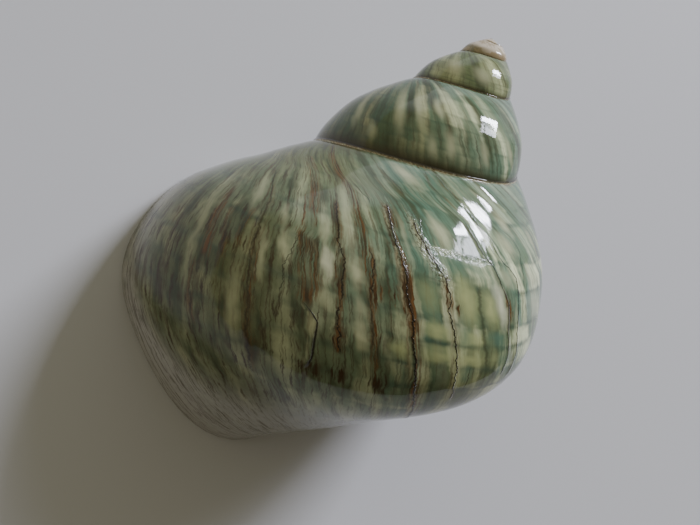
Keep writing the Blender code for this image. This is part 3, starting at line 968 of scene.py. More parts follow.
@dataclass(frozen=True)
class GrowthMarks:
    """Coordinates along and across the growth lines, and the breaks that both relief and colour read."""

    path_at_lip: float = 338.0
    width_at_lip: float = 62.0
    turn_millimetres: float = 200.0
    seed: float = 7.0
    painted_highlight_groove: float = 0.8    # from this groove on, a crack has a painted highlight along its lip-side edge
    sharp_groove: float = 1.0        # from this groove on, a crack has a sharp bottom
    breaks: tuple = (
        GrowthBreak(((0.41, -0.2004), (0.49, -0.2010), (0.57, -0.1994), (0.63, -0.2022), (0.73, -0.2002),
                     (0.78, -0.1978), (0.93, -0.1970)), 1.0, 0.30, 0.85, 1.0, 0.6),
        GrowthBreak(((0.53, -0.2195), (0.62, -0.2200), (0.70, -0.2215), (0.78, -0.2195), (0.96, -0.2215)),
                    0.35, 0.30, 0.8, 0.9, 0.3),
        GrowthBreak(((0.56, -0.2245), (0.60, -0.2262), (0.64, -0.2240), (0.72, -0.2220)), 0.9, 0.28, 0.3, 0.9, 0.6),
        GrowthBreak(((0.35, -0.2525), (0.48, -0.2487), (0.62, -0.2502), (0.69, -0.2487), (0.76, -0.2502),
                     (0.96, -0.2498), (1.06, -0.2552), (1.27, -0.2640)), 1.0, 0.36, 1.0, 1.8, 1.2, 1.0, 1.3),
        GrowthBreak(((0.37, -0.2825), (0.43, -0.2790), (0.49, -0.2715), (0.52, -0.2710)), 0.6, 0.30, 0.0, 1.0, 1.0),
        GrowthBreak(((0.38, -0.2760), (0.44, -0.2740), (0.53, -0.2790), (0.585, -0.2836), (0.67, -0.2857),
                     (0.70, -0.2820), (0.78, -0.2836), (0.975, -0.2847), (1.056, -0.2870)),
                    1.0, 0.30, 0.5, 1.2, 1.0, 1.0, 2.2),
        GrowthBreak(((0.21, -0.1660), (0.243, -0.1684), (0.306, -0.1755), (0.367, -0.1784), (0.435, -0.1798),
                     (0.50, -0.1796)), 0.35, 0.3, 1.0, 1.8),
        GrowthBreak(((0.60, -0.1784), (0.668, -0.1808), (0.711, -0.1816), (0.762, -0.1809), (0.81, -0.1775)),
                    0.3, 0.3, 1.0, 1.3),
        GrowthBreak(((0.58, -0.1685), (0.632, -0.1724), (0.70, -0.1726), (0.81, -0.1735)), 0.25, 0.3, 1.0, 1.0),
        GrowthBreak(((0.815, -0.1755), (0.834, -0.1796), (0.857, -0.1836), (0.896, -0.1822), (0.938, -0.1808),
                     (0.976, -0.1794), (1.005, -0.1760)), 1.0, 0.36, 0.1, 0.8, 1.2, 0.25),
        GrowthBreak(((0.60, -0.1690), (0.65, -0.1657), (0.70, -0.1620), (0.72, -0.1596), (0.81, -0.1590)),
                    0.7, 0.22, 0.0, 0.8, 0.4),
        GrowthBreak(((0.36, -0.1300), (0.42, -0.1328), (0.52, -0.1398), (0.63, -0.1378), (0.73, -0.1348),
                     (0.89, -0.1368), (1.10, -0.1358)), 0.55, 0.50, 0.45, 1.2, 0.5),
        GrowthBreak(((0.57, -0.1295), (0.65, -0.1250), (0.72, -0.1245)), 0.2, 0.3, 0.6, 0.8, 0.3),
        GrowthBreak(((0.60, -0.1100), (0.68, -0.1115), (0.77, -0.1125)), 0.2, 0.3, 0.8, 0.9, 0.3),
        GrowthBreak(((0.62, -0.0980), (0.70, -0.0965), (0.79, -0.1000)), 0.0, 0.3, 1.0, 1.3),
        GrowthBreak(((0.81, -0.0910), (0.89, -0.0915), (1.00, -0.0950)), 0.3, 0.5, 0.7, 0.9, 0.3),
        GrowthBreak(((0.30, -0.2253), (0.33, -0.2290), (0.345, -0.2340), (0.37, -0.2345)),
                    0.9, 0.26, 0.0, 0.8, 0.8, 0.4),
        GrowthBreak(((0.05, -0.2110), (0.073, -0.2078), (0.177, -0.2000), (0.263, -0.2082), (0.33, -0.2167),
                     (0.379, -0.2205), (0.439, -0.2187), (0.50, -0.2213), (0.614, -0.2211), (0.66, -0.2230)),
                    0.20, 0.3, 1.0, 1.8),
        GrowthBreak(((0.24, -0.3610), (0.325, -0.3570), (0.36, -0.3610), (0.44, -0.3590), (0.46, -0.3595),
                     (0.52, -0.3695), (0.55, -0.3705), (0.62, -0.3665), (0.70, -0.3610), (0.78, -0.3560),
                     (0.86, -0.3560), (0.97, -0.3510)), 0.9, 0.36, 0.0, 0.8, 1.2, 0.4),
        GrowthBreak(((0.32, -0.3400), (0.38, -0.3380), (0.455, -0.3385), (0.50, -0.3445), (0.585, -0.3455),
                     (0.65, -0.3480), (0.72, -0.3450), (0.77, -0.3420), (0.86, -0.3420), (0.95, -0.3380)),
                    0.8, 0.34, 0.25, 0.8, 1.1, 0.4),
        GrowthBreak(((0.33, -0.3950), (0.37, -0.4020), (0.43, -0.4010), (0.48, -0.3930), (0.53, -0.3870),
                     (0.62, -0.3760), (0.74, -0.3780)), 0.5, 0.40, 0.0, 0.8, 0.8, 0.4),
        GrowthBreak(((0.03, -0.4570), (0.065, -0.4390), (0.15, -0.4320), (0.24, -0.4350), (0.30, -0.4450)),
                    0.0, 0.9, 0.0, 0.8, 0.2),
        GrowthBreak(((0.36, -0.4750), (0.42, -0.4600), (0.50, -0.4530), (0.58, -0.4470)), 0.3, 0.9, 0.0),
        GrowthBreak(((0.00, -0.3730), (0.03, -0.3675), (0.08, -0.3600), (0.15, -0.3540), (0.22, -0.3570)),
                    0.35, 0.5, 0.5, 1.3, 0.5),
        GrowthBreak(((0.05, -0.3500), (0.07, -0.3465), (0.14, -0.3330), (0.195, -0.3320), (0.27, -0.3400)),
                    0.3, 0.5, 0.5, 1.2, 0.5),
        GrowthBreak(((0.60, -0.3140), (0.75, -0.3120), (0.90, -0.3140)), 0.45, 0.9, 0.0),
        GrowthBreak(((0.91, -0.2985), (0.96, -0.2975), (1.00, -0.2965)), 0.7, 0.24, 0.0),
        GrowthBreak(((0.14, -0.2700), (0.18, -0.2725), (0.24, -0.2800), (0.27, -0.2790)), 0.35, 0.5, 0.5, 1.4, 0.4),
    )
    # for each tint, its marks: turns from and to, share across from and to, strength
    blotches: tuple = (
        (Tint.WHITE, (
            (-0.345, -0.331, 0.57, 0.74, 0.75), (-0.420, -0.384, 0.60, 0.75, 0.45),
            (-0.1955, -0.1860, 0.61, 0.71, 0.75),
        )),
        (Tint.CREAM, (
            (-0.394, -0.372, 0.34, 0.46, 0.65), (-0.412, -0.396, 0.23, 0.35, 0.65),
            (-0.455, -0.441, 0.31, 0.46, 0.55), (-0.404, -0.394, 0.10, 0.22, 0.35),
            (-0.380, -0.366, 0.21, 0.28, 0.35), (-0.3165, -0.293, 0.06, 0.20, 0.65),
            (-0.309, -0.290, 0.35, 0.46, 0.60), (-0.367, -0.348, 0.50, 0.60, 0.45),
            (-0.419, -0.392, 0.49, 0.60, 0.45), (-0.262, -0.256, 0.35, 0.56, 0.35),
            (-0.2140, -0.2030, 0.34, 0.60, 0.45), (-0.2175, -0.2060, 0.61, 0.71, 0.75),
            (-0.2165, -0.2070, 0.73, 0.81, 0.45), (-0.2170, -0.2080, 0.815, 0.90, 0.75),
            (-0.1940, -0.1850, 0.49, 0.61, 0.50), (-0.1930, -0.1850, 0.72, 0.82, 0.45),
            (-0.1630, -0.1545, 0.61, 0.71, 0.60), (-0.1600, -0.1520, 0.50, 0.60, 0.40),
            (-0.1470, -0.1390, 0.64, 0.80, 0.50), (-0.1320, -0.1220, 0.41, 0.58, 0.45),
            (-0.1300, -0.1200, 0.80, 0.98, 0.40), (-0.0900, -0.0820, 0.48, 0.90, 0.35),
            (-0.1830, -0.1765, 0.84, 0.89, 0.60), (-1.066, -1.050, 0.52, 0.84, 0.50),
            (-1.150, -1.130, 0.35, 0.80, 0.60), (-1.182, -1.166, 0.36, 0.66, 0.55),
            (-1.224, -1.206, 0.36, 0.55, 0.65), (-1.104, -1.088, 0.78, 0.92, 0.40),
            (-1.200, -1.184, 0.74, 0.93, 0.50), (-1.234, -1.214, 0.66, 0.90, 0.60),
            (-1.296, -1.278, 0.66, 0.90, 0.50), (-1.368, -1.350, 0.55, 0.86, 0.60),
            (-1.300, -1.284, 0.30, 0.46, 0.50), (-2.165, -2.095, 0.50, 0.82, 0.70),
            (-2.275, -2.205, 0.50, 0.84, 0.60),
        )),
        (Tint.YELLOW, (
            (-0.332, -0.316, 0.61, 0.74, 0.80), (-0.311, -0.290, 0.57, 0.75, 0.75),
            (-0.313, -0.288, 0.77, 0.83, 0.65), (-0.313, -0.286, 0.845, 0.905, 0.70),
            (-0.333, -0.318, 0.845, 0.905, 0.40), (-0.280, -0.257, 0.755, 0.81, 0.70),
            (-0.282, -0.257, 0.84, 0.90, 0.60), (-0.276, -0.257, 0.61, 0.74, 0.35),
            (-0.247, -0.233, 0.84, 0.90, 0.60),
        )),
        (Tint.TEAL, (
            (-0.342, -0.318, 0.755, 0.835, 0.70), (-0.300, -0.287, 0.755, 0.835, 0.40),
            (-0.3300, -0.2900, 0.480, 0.560, 0.60), (-0.3450, -0.3280, 0.840, 0.960, 0.50),
            (-0.3000, -0.2880, 0.905, 0.980, 0.45),
        )),
        (Tint.DARK, (
            (-0.1850, -0.1700, 0.97, 1.05, 0.85), (-0.2040, -0.1900, 0.97, 1.05, 0.85),
            (-0.2310, -0.2185, 0.97, 1.07, 0.85), (-0.2600, -0.2480, 0.98, 1.08, 0.50),
            (-0.0730, -0.0560, 0.60, 1.02, 0.45),
        )),
        (Tint.RUST, (
            (-0.2110, -0.2030, 0.19, 0.33, 0.4), (-0.2020, -0.1960, 0.60, 0.80, 0.7),
            (-0.2250, -0.2190, 0.76, 0.97, 0.7), (-0.2530, -0.2460, 0.60, 0.94, 0.6),
            (-0.1750, -0.1690, 0.44, 0.62, 0.6), (-0.1830, -0.1780, 0.44, 0.60, 0.6),
            (-0.1420, -0.1350, 0.60, 0.98, 0.45), (-0.1030, -0.0960, 0.45, 0.72, 0.55),
            (-0.1240, -0.1180, 0.30, 0.50, 0.5), (-0.2280, -0.2190, 0.62, 0.75, 0.80),
            (-0.2410, -0.2350, 0.67, 0.75, 0.70), (-0.2000, -0.1945, 0.835, 0.935, 1.0),
            (-0.2895, -0.2800, 0.600, 0.735, 0.85), (-0.3525, -0.3445, 0.60, 0.74, 0.85),
            (-0.2560, -0.2450, 0.55, 0.80, 0.75), (-0.2555, -0.2460, 0.35, 0.46, 0.60),
            (-0.3560, -0.3400, 0.00, 0.06, 0.60), (-0.0620, -0.0520, 0.66, 0.75, 0.50),
        )),
    )
    cords: tuple = (
        (0.12, 0.20), (0.21, 0.30), (0.295, 0.45), (0.37, 0.15), (0.485, 0.85), (0.57, 0.25), (0.605, 0.85),
        (0.67, 0.35), (0.75, 1.0), (0.83, 0.85), (0.915, 0.75), (1.0, 0.5), (1.09, 0.3),
    )
    cord_width: float = 0.021
    bands: tuple = (0.21, 0.295, 0.485, 0.605, 0.75, 0.83, 0.915, 1.0, 1.12, 1.3, 1.5, 1.75)
    band_edge: float = 0.016
    bow: tuple = (
        (0.0, -0.018), (0.05, -0.009), (0.11, -0.003), (0.17, 0.0), (0.22, -0.001), (0.27, -0.006), (0.33, -0.012),
        (0.42, -0.013), (0.52, -0.014), (0.62, -0.011), (0.78, -0.008), (1.0, -0.008),
    )

    def coordinates(self, bench: Bench, line: Term, across: Term, rate: float) -> tuple[Term, Term]:
        """Millimetres along the spiral and across the whorl, with the sway of real growth lines.

        Args:
            bench: Tree to build in.
            line: Growth line in radians, 0 at the lip.
            across: Share of the way across the whorl.
            rate: Growth rate per radian.

        Returns:
            Path along the spiral and distance from the suture.
        """
        bow = bench.curve(across, self.bow) * line.smooth(-0.85 * TURN, -0.75 * TURN) * TURN
        across_mm = across * math.e ** (line * rate) * self.width_at_lip
        path = math.e ** ((line - bow) * rate) * self.path_at_lip
        slow = bench.grain(path * 0.05, across_mm * 0.11, self.seed, 1.0) - 0.5
        quick = bench.grain(path * 0.25, across_mm * 0.60, self.seed + 3.0, 2.0, 0.6) - 0.5
        return path + slow * 1.6 + quick * 0.8, across_mm

    def jag(self, bench: Bench, line: Term, across: Term) -> Term:
        """Small wandering of the cracks, in millimetres.

        Args:
            bench: Tree to build in.
            line: Growth line in radians.
            across: Share of the way across the whorl.

        Returns:
            Millimetres along the spiral.
        """
        slow = bench.grain(line * 2.0, across * 9.0, self.seed + 6.0) - 0.5
        quick = bench.grain(line * 6.0, across * 38.0, self.seed + 8.0, 2.0, 0.6) - 0.5
        fine = bench.grain(line * 12.0, across * 110.0, self.seed + 9.0, 2.0, 0.6) - 0.5
        return slow * 1.5 + quick + fine * 0.5

    def rows(self, bench: Bench, across: Term) -> Term:
        """Number of the band between two spiral lines, changing over a short way.

        Args:
            bench: Tree to build in.
            across: Share of the way across the whorl.

        Returns:
            The number, 0 beside the suture.
        """
        points = [(0.0, 0.0)]
        for number, edge in enumerate(self.bands):
            points += [(edge - self.band_edge, float(number)), (edge + self.band_edge, float(number + 1))]
        return bench.curve(across, points + [(2.0, float(len(self.bands)))], sharp=True)

    def cord_lines(self, bench: Bench, across: Term) -> Term:
        """Strength of the spiral lines between the cords.

        Args:
            bench: Tree to build in.
            across: Share of the way across the whorl.

        Returns:
            The strength, 0 to 1.
        """
        points = [(0.0, 0.0)]
        for middle, strength in self.cords:
            points += [(middle - self.cord_width, 0.0), (middle, strength), (middle + self.cord_width, 0.0)]
        return bench.curve(across, points + [(1.2, 0.0)], sharp=True)


@dataclass(frozen=True)
class Relief:
    """Low relief of the polished surface, in millimetres."""

    ridge: float = 0.022
    ridge_spacing: float = 3.4
    ridge_share: float = 0.5
    ridge_left: float = 3.0
    ridge_left_turns: tuple = (-0.62, -0.52, -0.41, -0.37)
    crack: float = 0.10
    crack_width: float = 0.80
    crack_floor: float = 0.1
    seam_depth: float = 0.30
    seam_width: float = 0.006
    seam_edge: float = 0.24
    edge_across: float = 0.020
    edge_width: float = 0.012
    edge_gaps: float = 0.25
    clear_of_floor: tuple = (0.3, 3.0)


class SpiralTree:
    """Node tree that coils the flat growth grid into the shell and adds its relief."""

    def __init__(self, form: ShellForm, marks: GrowthMarks, relief: Relief,
                 outside: bpy.types.Material, inside: bpy.types.Material) -> None:
        """Build the tree with named inputs for its sizes.

        Args:
            form: Shape of the shell.
            marks: Growth coordinates and breaks.
            relief: Heights of the relief.
            outside: Material of the outside.
            inside: Material of the hollow.
        """
        self.form, self.marks, self.relief = form, marks, relief
        self.tree = bpy.data.node_groups.new("coil_shell", "GeometryNodeTree")
        self.bench = Bench(self.tree)
        face = self.tree.interface
        face.new_socket("Geometry", in_out="INPUT", socket_type="NodeSocketGeometry")
        face.new_socket("Geometry", in_out="OUTPUT", socket_type="NodeSocketGeometry")
        self.sizes = {
            "Growth per whorl": form.growth_per_whorl, "Centre out": form.centre_out,
            "Centre down": form.centre_down, "Last drop": form.last_drop,
            "Change from": math.radians(form.change_from), "Worn top": form.worn_top,
            "Worn radius": form.worn_radius, "Worn share": form.worn_share,
            "Ridge height": relief.ridge, "Crack depth": relief.crack, "Seam depth": relief.seam_depth,
            "Seam edge": relief.seam_edge, "Seed": marks.seed,
        }
        for name in self.sizes:
            face.new_socket(name, in_out="INPUT", socket_type="NodeSocketFloat")
        self.entry = self.tree.nodes.new("NodeGroupInput")
        self._build(outside, inside)

    def _size(self, name: str) -> Term:
        """Named input of the tree."""
        return Term(self.bench, self.entry.outputs[name])

    def _attribute(self, name: str, kind: str = "FLOAT") -> Term:
        """Stored value of the growth grid."""
        return self.bench.node("GeometryNodeInputNamedAttribute", {"data_type": kind}, Name=name)

    def _coil(self) -> Term:
        """Point of the spiral rule in the resting frame, in millimetres.

        Returns:
            Place of each point of the grid.
        """
        bench, form = self.bench, self.form
        growth, section, reach = (self._attribute(name) for name in ("growth", "section", "reach"))
        rate = self._size("Growth per whorl").log() / TURN
        size = math.e ** (rate * growth)
        late = growth.smooth(-self._size("Change from"), 0.0)
        out = size * (self._size("Centre out") + reach * section.cos())
        up = size * (reach * section.sin() - self._size("Centre down") - self._size("Last drop") * late)
        bend = self._size("Worn radius")
        proud = up - (self._size("Worn top") + bend - (bend * bend + out * out).root())
        worn = self._size("Worn share") * (1.0 - growth.smooth(*(turns * TURN for turns in form.worn_until)))
        up = up - worn * 0.5 * (proud + (proud * proud + form.worn_soft ** 2).root())
        point = bench.combine(out * growth.cos(), -(out * growth.sin()), up)
        point = bench.vector("SUBTRACT", point, tuple(form.lip_start))
        along = [bench.vector("DOT_PRODUCT", point, tuple(row), output="Value") for row in form.to_floor]
        point = bench.combine(along[0] - form.origin[0], along[1] - form.origin[1], along[2])
        foot = (form.foot_plan[0] - form.origin[0], form.foot_plan[1] - form.origin[1], 0.0)
        reach_foot = bench.vector("SUBTRACT", foot, point)
        point = bench.vector("ADD", point, bench.scaled(reach_foot, self._attribute("footward")))
        x, y, z = bench.split(point)
        least, lifted = self._attribute("least"), self._attribute("lifted")
        high = z - least
        raised = least + 0.5 * (high + (high * high + 1.0).root())
        z = (z + lifted * (raised - z)) * (1.0 - self._attribute("pressed"))
        return bench.vector("ADD", bench.combine(x, y, z), self._attribute("aside", "FLOAT_VECTOR"))

    def _raise(self) -> Term:
        """Height of the relief over the smooth shell, in millimetres.

        Returns:
            Height along the normal.
        """
        bench, relief = self.bench, self.relief
        rate = math.log(self.form.growth_per_whorl) / TURN
        line, across, share = (self._attribute(name) for name in ("line", "across", "relief"))
        path, wide = self.marks.coordinates(bench, line, across, rate)
        size = math.e ** (line * (0.6 * rate))
        seed = self._size("Seed")
        ridge = bench.grain(path / relief.ridge_spacing, wide * 0.03, seed, 1.0) - 0.5
        turns = line / TURN
        rise, full, fall, end = relief.ridge_left_turns
        ribbed = relief.ridge_share + relief.ridge_left * turns.smooth(end, fall) * turns.smooth(rise, full)
        total = ridge * ribbed * self._size("Ridge height") * 2.0
        jag = self.marks.jag(bench, line, across)
        for mark in self.marks.breaks:
            if mark.groove > 0.0:
                far = mark.distance(bench, turns, across, jag, self.marks.turn_millimetres)
                near = far.near(relief.crack_width, relief.crack_floor)
                total = total - near * mark.window(across) * self._size("Crack depth") * mark.groove
        rough = bench.grain(path * 0.9, 0.0, seed + 9.0)
        seam = across.bell(0.0, relief.seam_width) * self._size("Seam depth")
        edge = across.bell(relief.edge_across, relief.edge_width) * self._size("Seam edge") \
            * (rough - relief.edge_gaps)
        place = bench.node("GeometryNodeInputPosition")
        clear = (bench.split(place)[2] / MM).smooth(*relief.clear_of_floor)
        return (total * share + (edge - seam) * self._attribute("seam")) * size * clear

    def _build(self, outside: bpy.types.Material, inside: bpy.types.Material) -> None:
        """Coil, relief, materials and result.

        Args:
            outside: Material of the outside.
            inside: Material of the hollow.
        """
        bench = self.bench
        start = Term(bench, self.entry.outputs["Geometry"])
        place = bench.scaled(self._coil(), MM)
        coiled = bench.node("GeometryNodeSetPosition", None, Geometry=start, Position=place)
        normal = bench.node("GeometryNodeInputNormal")
        offset = bench.scaled(normal, self._raise() * MM)
        shaped = bench.node("GeometryNodeSetPosition", None, Geometry=coiled, Offset=offset)
        dressed = bench.node("GeometryNodeSetMaterial", None, Geometry=shaped, Material=outside)
        hollow = bench.node("FunctionNodeCompare", {"data_type": "FLOAT", "operation": "GREATER_THAN"},
                            self._attribute("side"), 0.5)
        lined = bench.node("GeometryNodeSetMaterial", None, Geometry=dressed, Selection=hollow, Material=inside)
        solid = bench.node("GeometryNodeRealizeInstances", None, Geometry=lined)
        exit_node = self.tree.nodes.new("NodeGroupOutput")
        self.tree.links.new(solid.socket, exit_node.inputs["Geometry"])

    def apply(self, mesh: bpy.types.Mesh, name: str) -> bpy.types.Object:
        """Run the tree on the flat grid and keep the result as a plain mesh.

        Args:
            mesh: The flat growth grid.
            name: Name of the finished piece.

        Returns:
            Object with the coiled mesh and no modifier.
        """
        made = bpy.data.objects.new(name, mesh)
        bpy.context.scene.collection.objects.link(made)
        modifier = made.modifiers.new("coil", "NODES")
        modifier.node_group = self.tree
        for item in self.tree.interface.items_tree:
            if item.item_type == "SOCKET" and item.in_out == "INPUT" and item.name in self.sizes:
                modifier[item.identifier] = float(self.sizes[item.name])
        bpy.context.view_layer.update()
        graph = bpy.context.evaluated_depsgraph_get()
        solid = bpy.data.meshes.new_from_object(made.evaluated_get(graph), preserve_all_data_layers=True,
                                                depsgraph=graph)
        made.modifiers.clear()
        made.data = solid
        solid.name = name
        for stored in [item.name for item in solid.attributes if item.domain in {"POINT", "FACE"}]:
            if stored in GrowthGrid.STORED:
                solid.attributes.remove(solid.attributes[stored])
        return made


def new_material(name: str) -> tuple[bpy.types.Material, Bench, bpy.types.Node]:
    """Material with a bench and its Principled shader."""
    material = bpy.data.materials.new(name)
    material.use_nodes = True
    return material, Bench(material.node_tree), material.node_tree.nodes["Principled BSDF"]


@dataclass(frozen=True)
class Grown:
    """Growth coordinates of a surface, for the nodes of one tree."""

    bench: Bench
    turns: Term     # turns from the lip, 0 there and falling towards the tip
    across: Term    # share of the way across the whorl
    path: Term      # millimetres along the spiral
    wide: Term      # millimetres across the whorl

    def grain(self, along: Feed, over: Feed, seed: Number, detail: Number = 2.0, rough: Number = 0.5) -> Term:
        """Noise with so many steps per millimetre along the spiral and across the whorl."""
        return self.bench.grain(self.path * along, self.wide * over, seed, detail, rough)


@dataclass(frozen=True)
class Zones:
    """Soft parts of the shell that differ in tone, each 1 inside and fading to 0."""

    older: Term     # the whorls before the last
    old: Term       # the whorls before those
    front: Term     # the quarter turn before the lip
    low: Term       # below the shoulder
    high: Term      # above the shoulder
    plain: Term     # calmer strip along the last suture
    brown: Term     # browner towards the lip
    gold: Term      # yellow patches below the shoulder
    pale: Term      # pale base
    lip: Term       # narrow pale edge at the lip
    # pale base, partly its own paler colour and partly a painted reflection of the floor

    @classmethod
    def of(cls, at: Grown, patch: Term) -> "Zones":
        """Zones at a place; the noise of the patches breaks up the gold and the lip.

        Args:
            at: Growth coordinates.
            patch: Noise of the large patches.

        Returns:
            The zones.
        """
        turns, across = at.turns, at.across
        older, low = turns.smooth(-0.78, -0.86), across.smooth(0.52, 0.64)
        return cls(
            older=older, low=low,
            old=turns.smooth(-1.75, -1.95),
            front=turns.smooth(-0.28, -0.20) * (1.0 - older),
            high=across.smooth(0.50, 0.25),
            plain=across.smooth(0.34, 0.12) * (1.0 - older),
            brown=turns.smooth(-0.24, -0.13) * across.smooth(0.12, 0.70),
            gold=low * turns.within(-0.38, -0.33, -0.26, -0.21) * patch.smooth(0.34, 0.56),
            pale=(across + turns.smooth(-0.10, 0.0) * 0.26).smooth(1.12, 1.40),
            lip=turns.smooth(-0.058, -0.012) * (0.45 + patch).clamp() * (1.0 - older))


@dataclass(frozen=True)
class PolishedShell:
    """Glossy green and cream outside with brown growth cracks."""

    roughness: float = 0.055
    ior: float = 1.48
    bump_strength: float = 0.7
    bump_metres: float = 0.0002
    pitted_row: float = 0.487
    row_sway: float = 0.030
    teal: tuple = (0.105, 0.200, 0.135)
    sage: tuple = (0.180, 0.245, 0.150)
    olive: tuple = (0.120, 0.125, 0.055)
    moss: tuple = (0.190, 0.215, 0.085)
    shadow: tuple = (0.062, 0.080, 0.040)
    dark: tuple = (0.048, 0.031, 0.013)
    fern: tuple = (0.140, 0.158, 0.058)
    cord: tuple = (0.0399, 0.0760, 0.0513)
    cream: tuple = (0.545, 0.560, 0.350)
    mint: tuple = (0.550, 0.590, 0.370)
    # pale grey of the base and the lip edge; on the base partly a painted reflection of the floor
    pale_grey_and_sheen: tuple = (0.460, 0.450, 0.430)
    haze: tuple = (0.250, 0.275, 0.175)
    brown: tuple = (0.055, 0.030, 0.012)
    white: tuple = (0.700, 0.710, 0.500)
    yellow: tuple = (0.440, 0.475, 0.215)
    rust: tuple = (0.160, 0.074, 0.022)
    crack: tuple = (0.016, 0.011, 0.006)
    seam: tuple = (0.380, 0.290, 0.170)
    worn: tuple = (0.640, 0.560, 0.440)
    front_tint: tuple = (0.78, 0.76, 0.56)
    # tints multiplied in by region: painted light, painted shade, a browner colour with painted shade, painted shade
    # on the spire
    painted_light_tint: tuple = (1.48, 1.48, 1.48)
    painted_shade_tint: tuple = (0.74, 0.73, 0.68)
    browner_and_shade_tint: tuple = (0.78, 0.76, 0.66)
    painted_spire_shade_tint: tuple = (0.76, 0.71, 0.58)

    def build(self, marks: GrowthMarks, form: ShellForm) -> bpy.types.Material:
        """Make the material.

        Args:
            marks: Growth coordinates and breaks.
            form: Shape of the shell, for its growth rate.

        Returns:
            The finished material.
        """
        material, bench, shader = new_material("polished_shell")
        rate = math.log(form.growth_per_whorl) / TURN
        grown = bench.node("ShaderNodeUVMap", {"uv_map": "growth_map"})
        turns, across, _ = bench.split(grown)
        line = turns * TURN
        at = Grown(bench, turns, across, *marks.coordinates(bench, line, across, rate))
        jag = marks.jag(bench, line, across)
        strayed = across + (at.grain(0.16, 0.16, 37.0) - 0.5) * self.row_sway
        colour = self._ground(at, marks.rows(bench, strayed))
        colour = self._cords(at, marks, strayed, colour)
        colour = self._blotches(at, marks, grown, colour)
        colour, depth, scuffed = self._breaks(at, marks, jag, colour)
        bench.feed(shader.inputs["Base Color"], self._suture(at, colour))
        bench.feed(shader.inputs["Normal"], self._bump(at, depth, scuffed))
        shader.inputs["Roughness"].default_value = self.roughness
        shader.inputs["IOR"].default_value = self.ior
        return material

    def _bump(self, at: Grown, depth: Feed, scuffed: Feed) -> Term:
        """Finest grain, the pitted strip and the sharp bottom of the cracks.

        Args:
            at: Growth coordinates.
            depth: Depth of the cracks.
            scuffed: Share of pitted skin.

        Returns:
            The bumped normal.
        """
        fine = at.grain(1.7, 0.06, 12.0, 3.0, 0.6)
        pits = at.grain(1.6, 1.6, 31.0, 2.0, 0.7)
        strip = (at.across - self.pitted_row).near(0.020, 0.004) * at.turns.within(-0.36, -0.33, -0.30, -0.26)
        height = (fine - 0.5) * 0.04 + (pits - 0.5) * (strip * 1.6 + scuffed * 0.8) - depth * 0.6
        return at.bench.node("ShaderNodeBump", None, Strength=self.bump_strength, Distance=self.bump_metres,
                             Height=height)

    def _ground(self, at: Grown, row: Term) -> Term:
        """Green ground with lighter and darker streaks along the growth lines, broken into bands.

        Args:
            at: Growth coordinates.
            row: Number of the band.

        Returns:
            The colour.
        """
        bench = at.bench
        patch = at.grain(0.07, 0.05, 4.0)
        zone = Zones.of(at, patch)
        tone = at.grain(0.40, 0.05 + 0.05 * zone.front, 1.0)
        lit = self._streaks(at, zone, row)
        colour = bench.blend(tone.smooth(0.50, 0.34) * 0.45, self._greens(bench, zone, patch), self.haze)
        shaded = tone.smooth(0.49, 0.67) * (0.86 + zone.brown * 0.12) * (1.0 - zone.pale * 0.6)
        colour = bench.blend(shaded, colour, self.shadow)
        colour = bench.blend(lit, colour, self._light(at, zone))
        # pale base, partly its own paler colour and partly a painted reflection of the floor, and the pale lip edge
        bare = zone.pale * (0.80 - 0.22 * at.turns.smooth(-0.11, -0.18)) + zone.lip * 0.7
        colour = bench.blend(bare.clamp(), colour, self.pale_grey_and_sheen)
        # the tones add painted light and painted shade by region
        return self._hairlines(at, zone, self._tones(at, zone, lit, colour))

    def _greens(self, bench: Bench, zone: Zones, patch: Term) -> Term:
        """Greens of the ground, from bluish to mossy.

        Args:
            bench: Tree to build in.
            zone: Parts of the shell.
            patch: Noise of the large patches.

        Returns:
            The colour.
        """
        grey = patch.smooth(0.38, 0.62) * (1.0 - zone.high * 0.5) + zone.front * 0.5
        green = bench.blend(grey.clamp(), self.teal, self.sage)
        green = bench.blend(zone.front * zone.high * 0.8, green, self.fern)
        green = bench.blend(zone.brown * 0.62, green, self.olive)
        return bench.blend((zone.gold * 0.5 + zone.old * 0.7).clamp(), green, self.moss)

    def _light(self, at: Grown, zone: Zones) -> Term:
        """Colour of the light streaks and cells.

        Args:
            at: Growth coordinates.
            zone: Parts of the shell.

        Returns:
            The colour.
        """
        bench, front = at.bench, zone.front
        warm = at.turns.smooth(-0.20, -0.08) * at.turns.smooth(-0.86, -0.78)
        light = bench.blend(warm * 0.5, self.mint, self.cream)
        light = bench.blend(zone.gold * 0.6 + zone.old * 0.5, light, self.yellow)
        light = bench.blend(front * (0.25 + 0.15 * zone.brown), light, self.haze)
        return bench.blend(front * zone.high * 0.8, light, self.front_tint, "MULTIPLY")

    def _streaks(self, at: Grown, zone: Zones, row: Term) -> Term:
        """Share of the light colour: long streaks, cut into cells by the bands, with ragged edges.

        Args:
            at: Growth coordinates.
            zone: Parts of the shell.
            row: Number of the band.

        Returns:
            The share, 0 to 1.
        """
        bench, older, front = at.bench, zone.older, zone.front
        long = bench.grain(at.path * 0.30 * (1.0 + 0.25 * older - 0.45 * zone.old),
                           at.wide * (0.045 - 0.02 * older + 0.04 * front), 16.0, 1.5)
        ragged = at.grain(1.5, 0.22, 23.0, 2.0, 0.6) - 0.5
        cell = bench.grain(at.path * 0.17, row * (1.0 - 0.6 * older) * 0.9, 8.0, 1.0) - 0.5
        streak = long + cell * (0.60 - 0.16 * front - 0.14 * older) + ragged * (0.22 - 0.14 * older)
        lobe = at.grain(0.24, 0.0, 44.0, 1.0) * 0.34 - 0.17
        clear = 1.0 - older * (1.0 - (at.across + lobe).smooth(0.08, 0.20)) * 0.85
        start = 0.43 + 0.01 * front
        full = start + 0.24 + 0.12 * front + 0.08 * zone.high + 0.08 * older
        weak = 1.0 - zone.brown * 0.20 - zone.high * 0.45 * (1.0 - older)
        return (1.0 - zone.plain * 0.35) * streak.smooth(start, full) * weak * clear

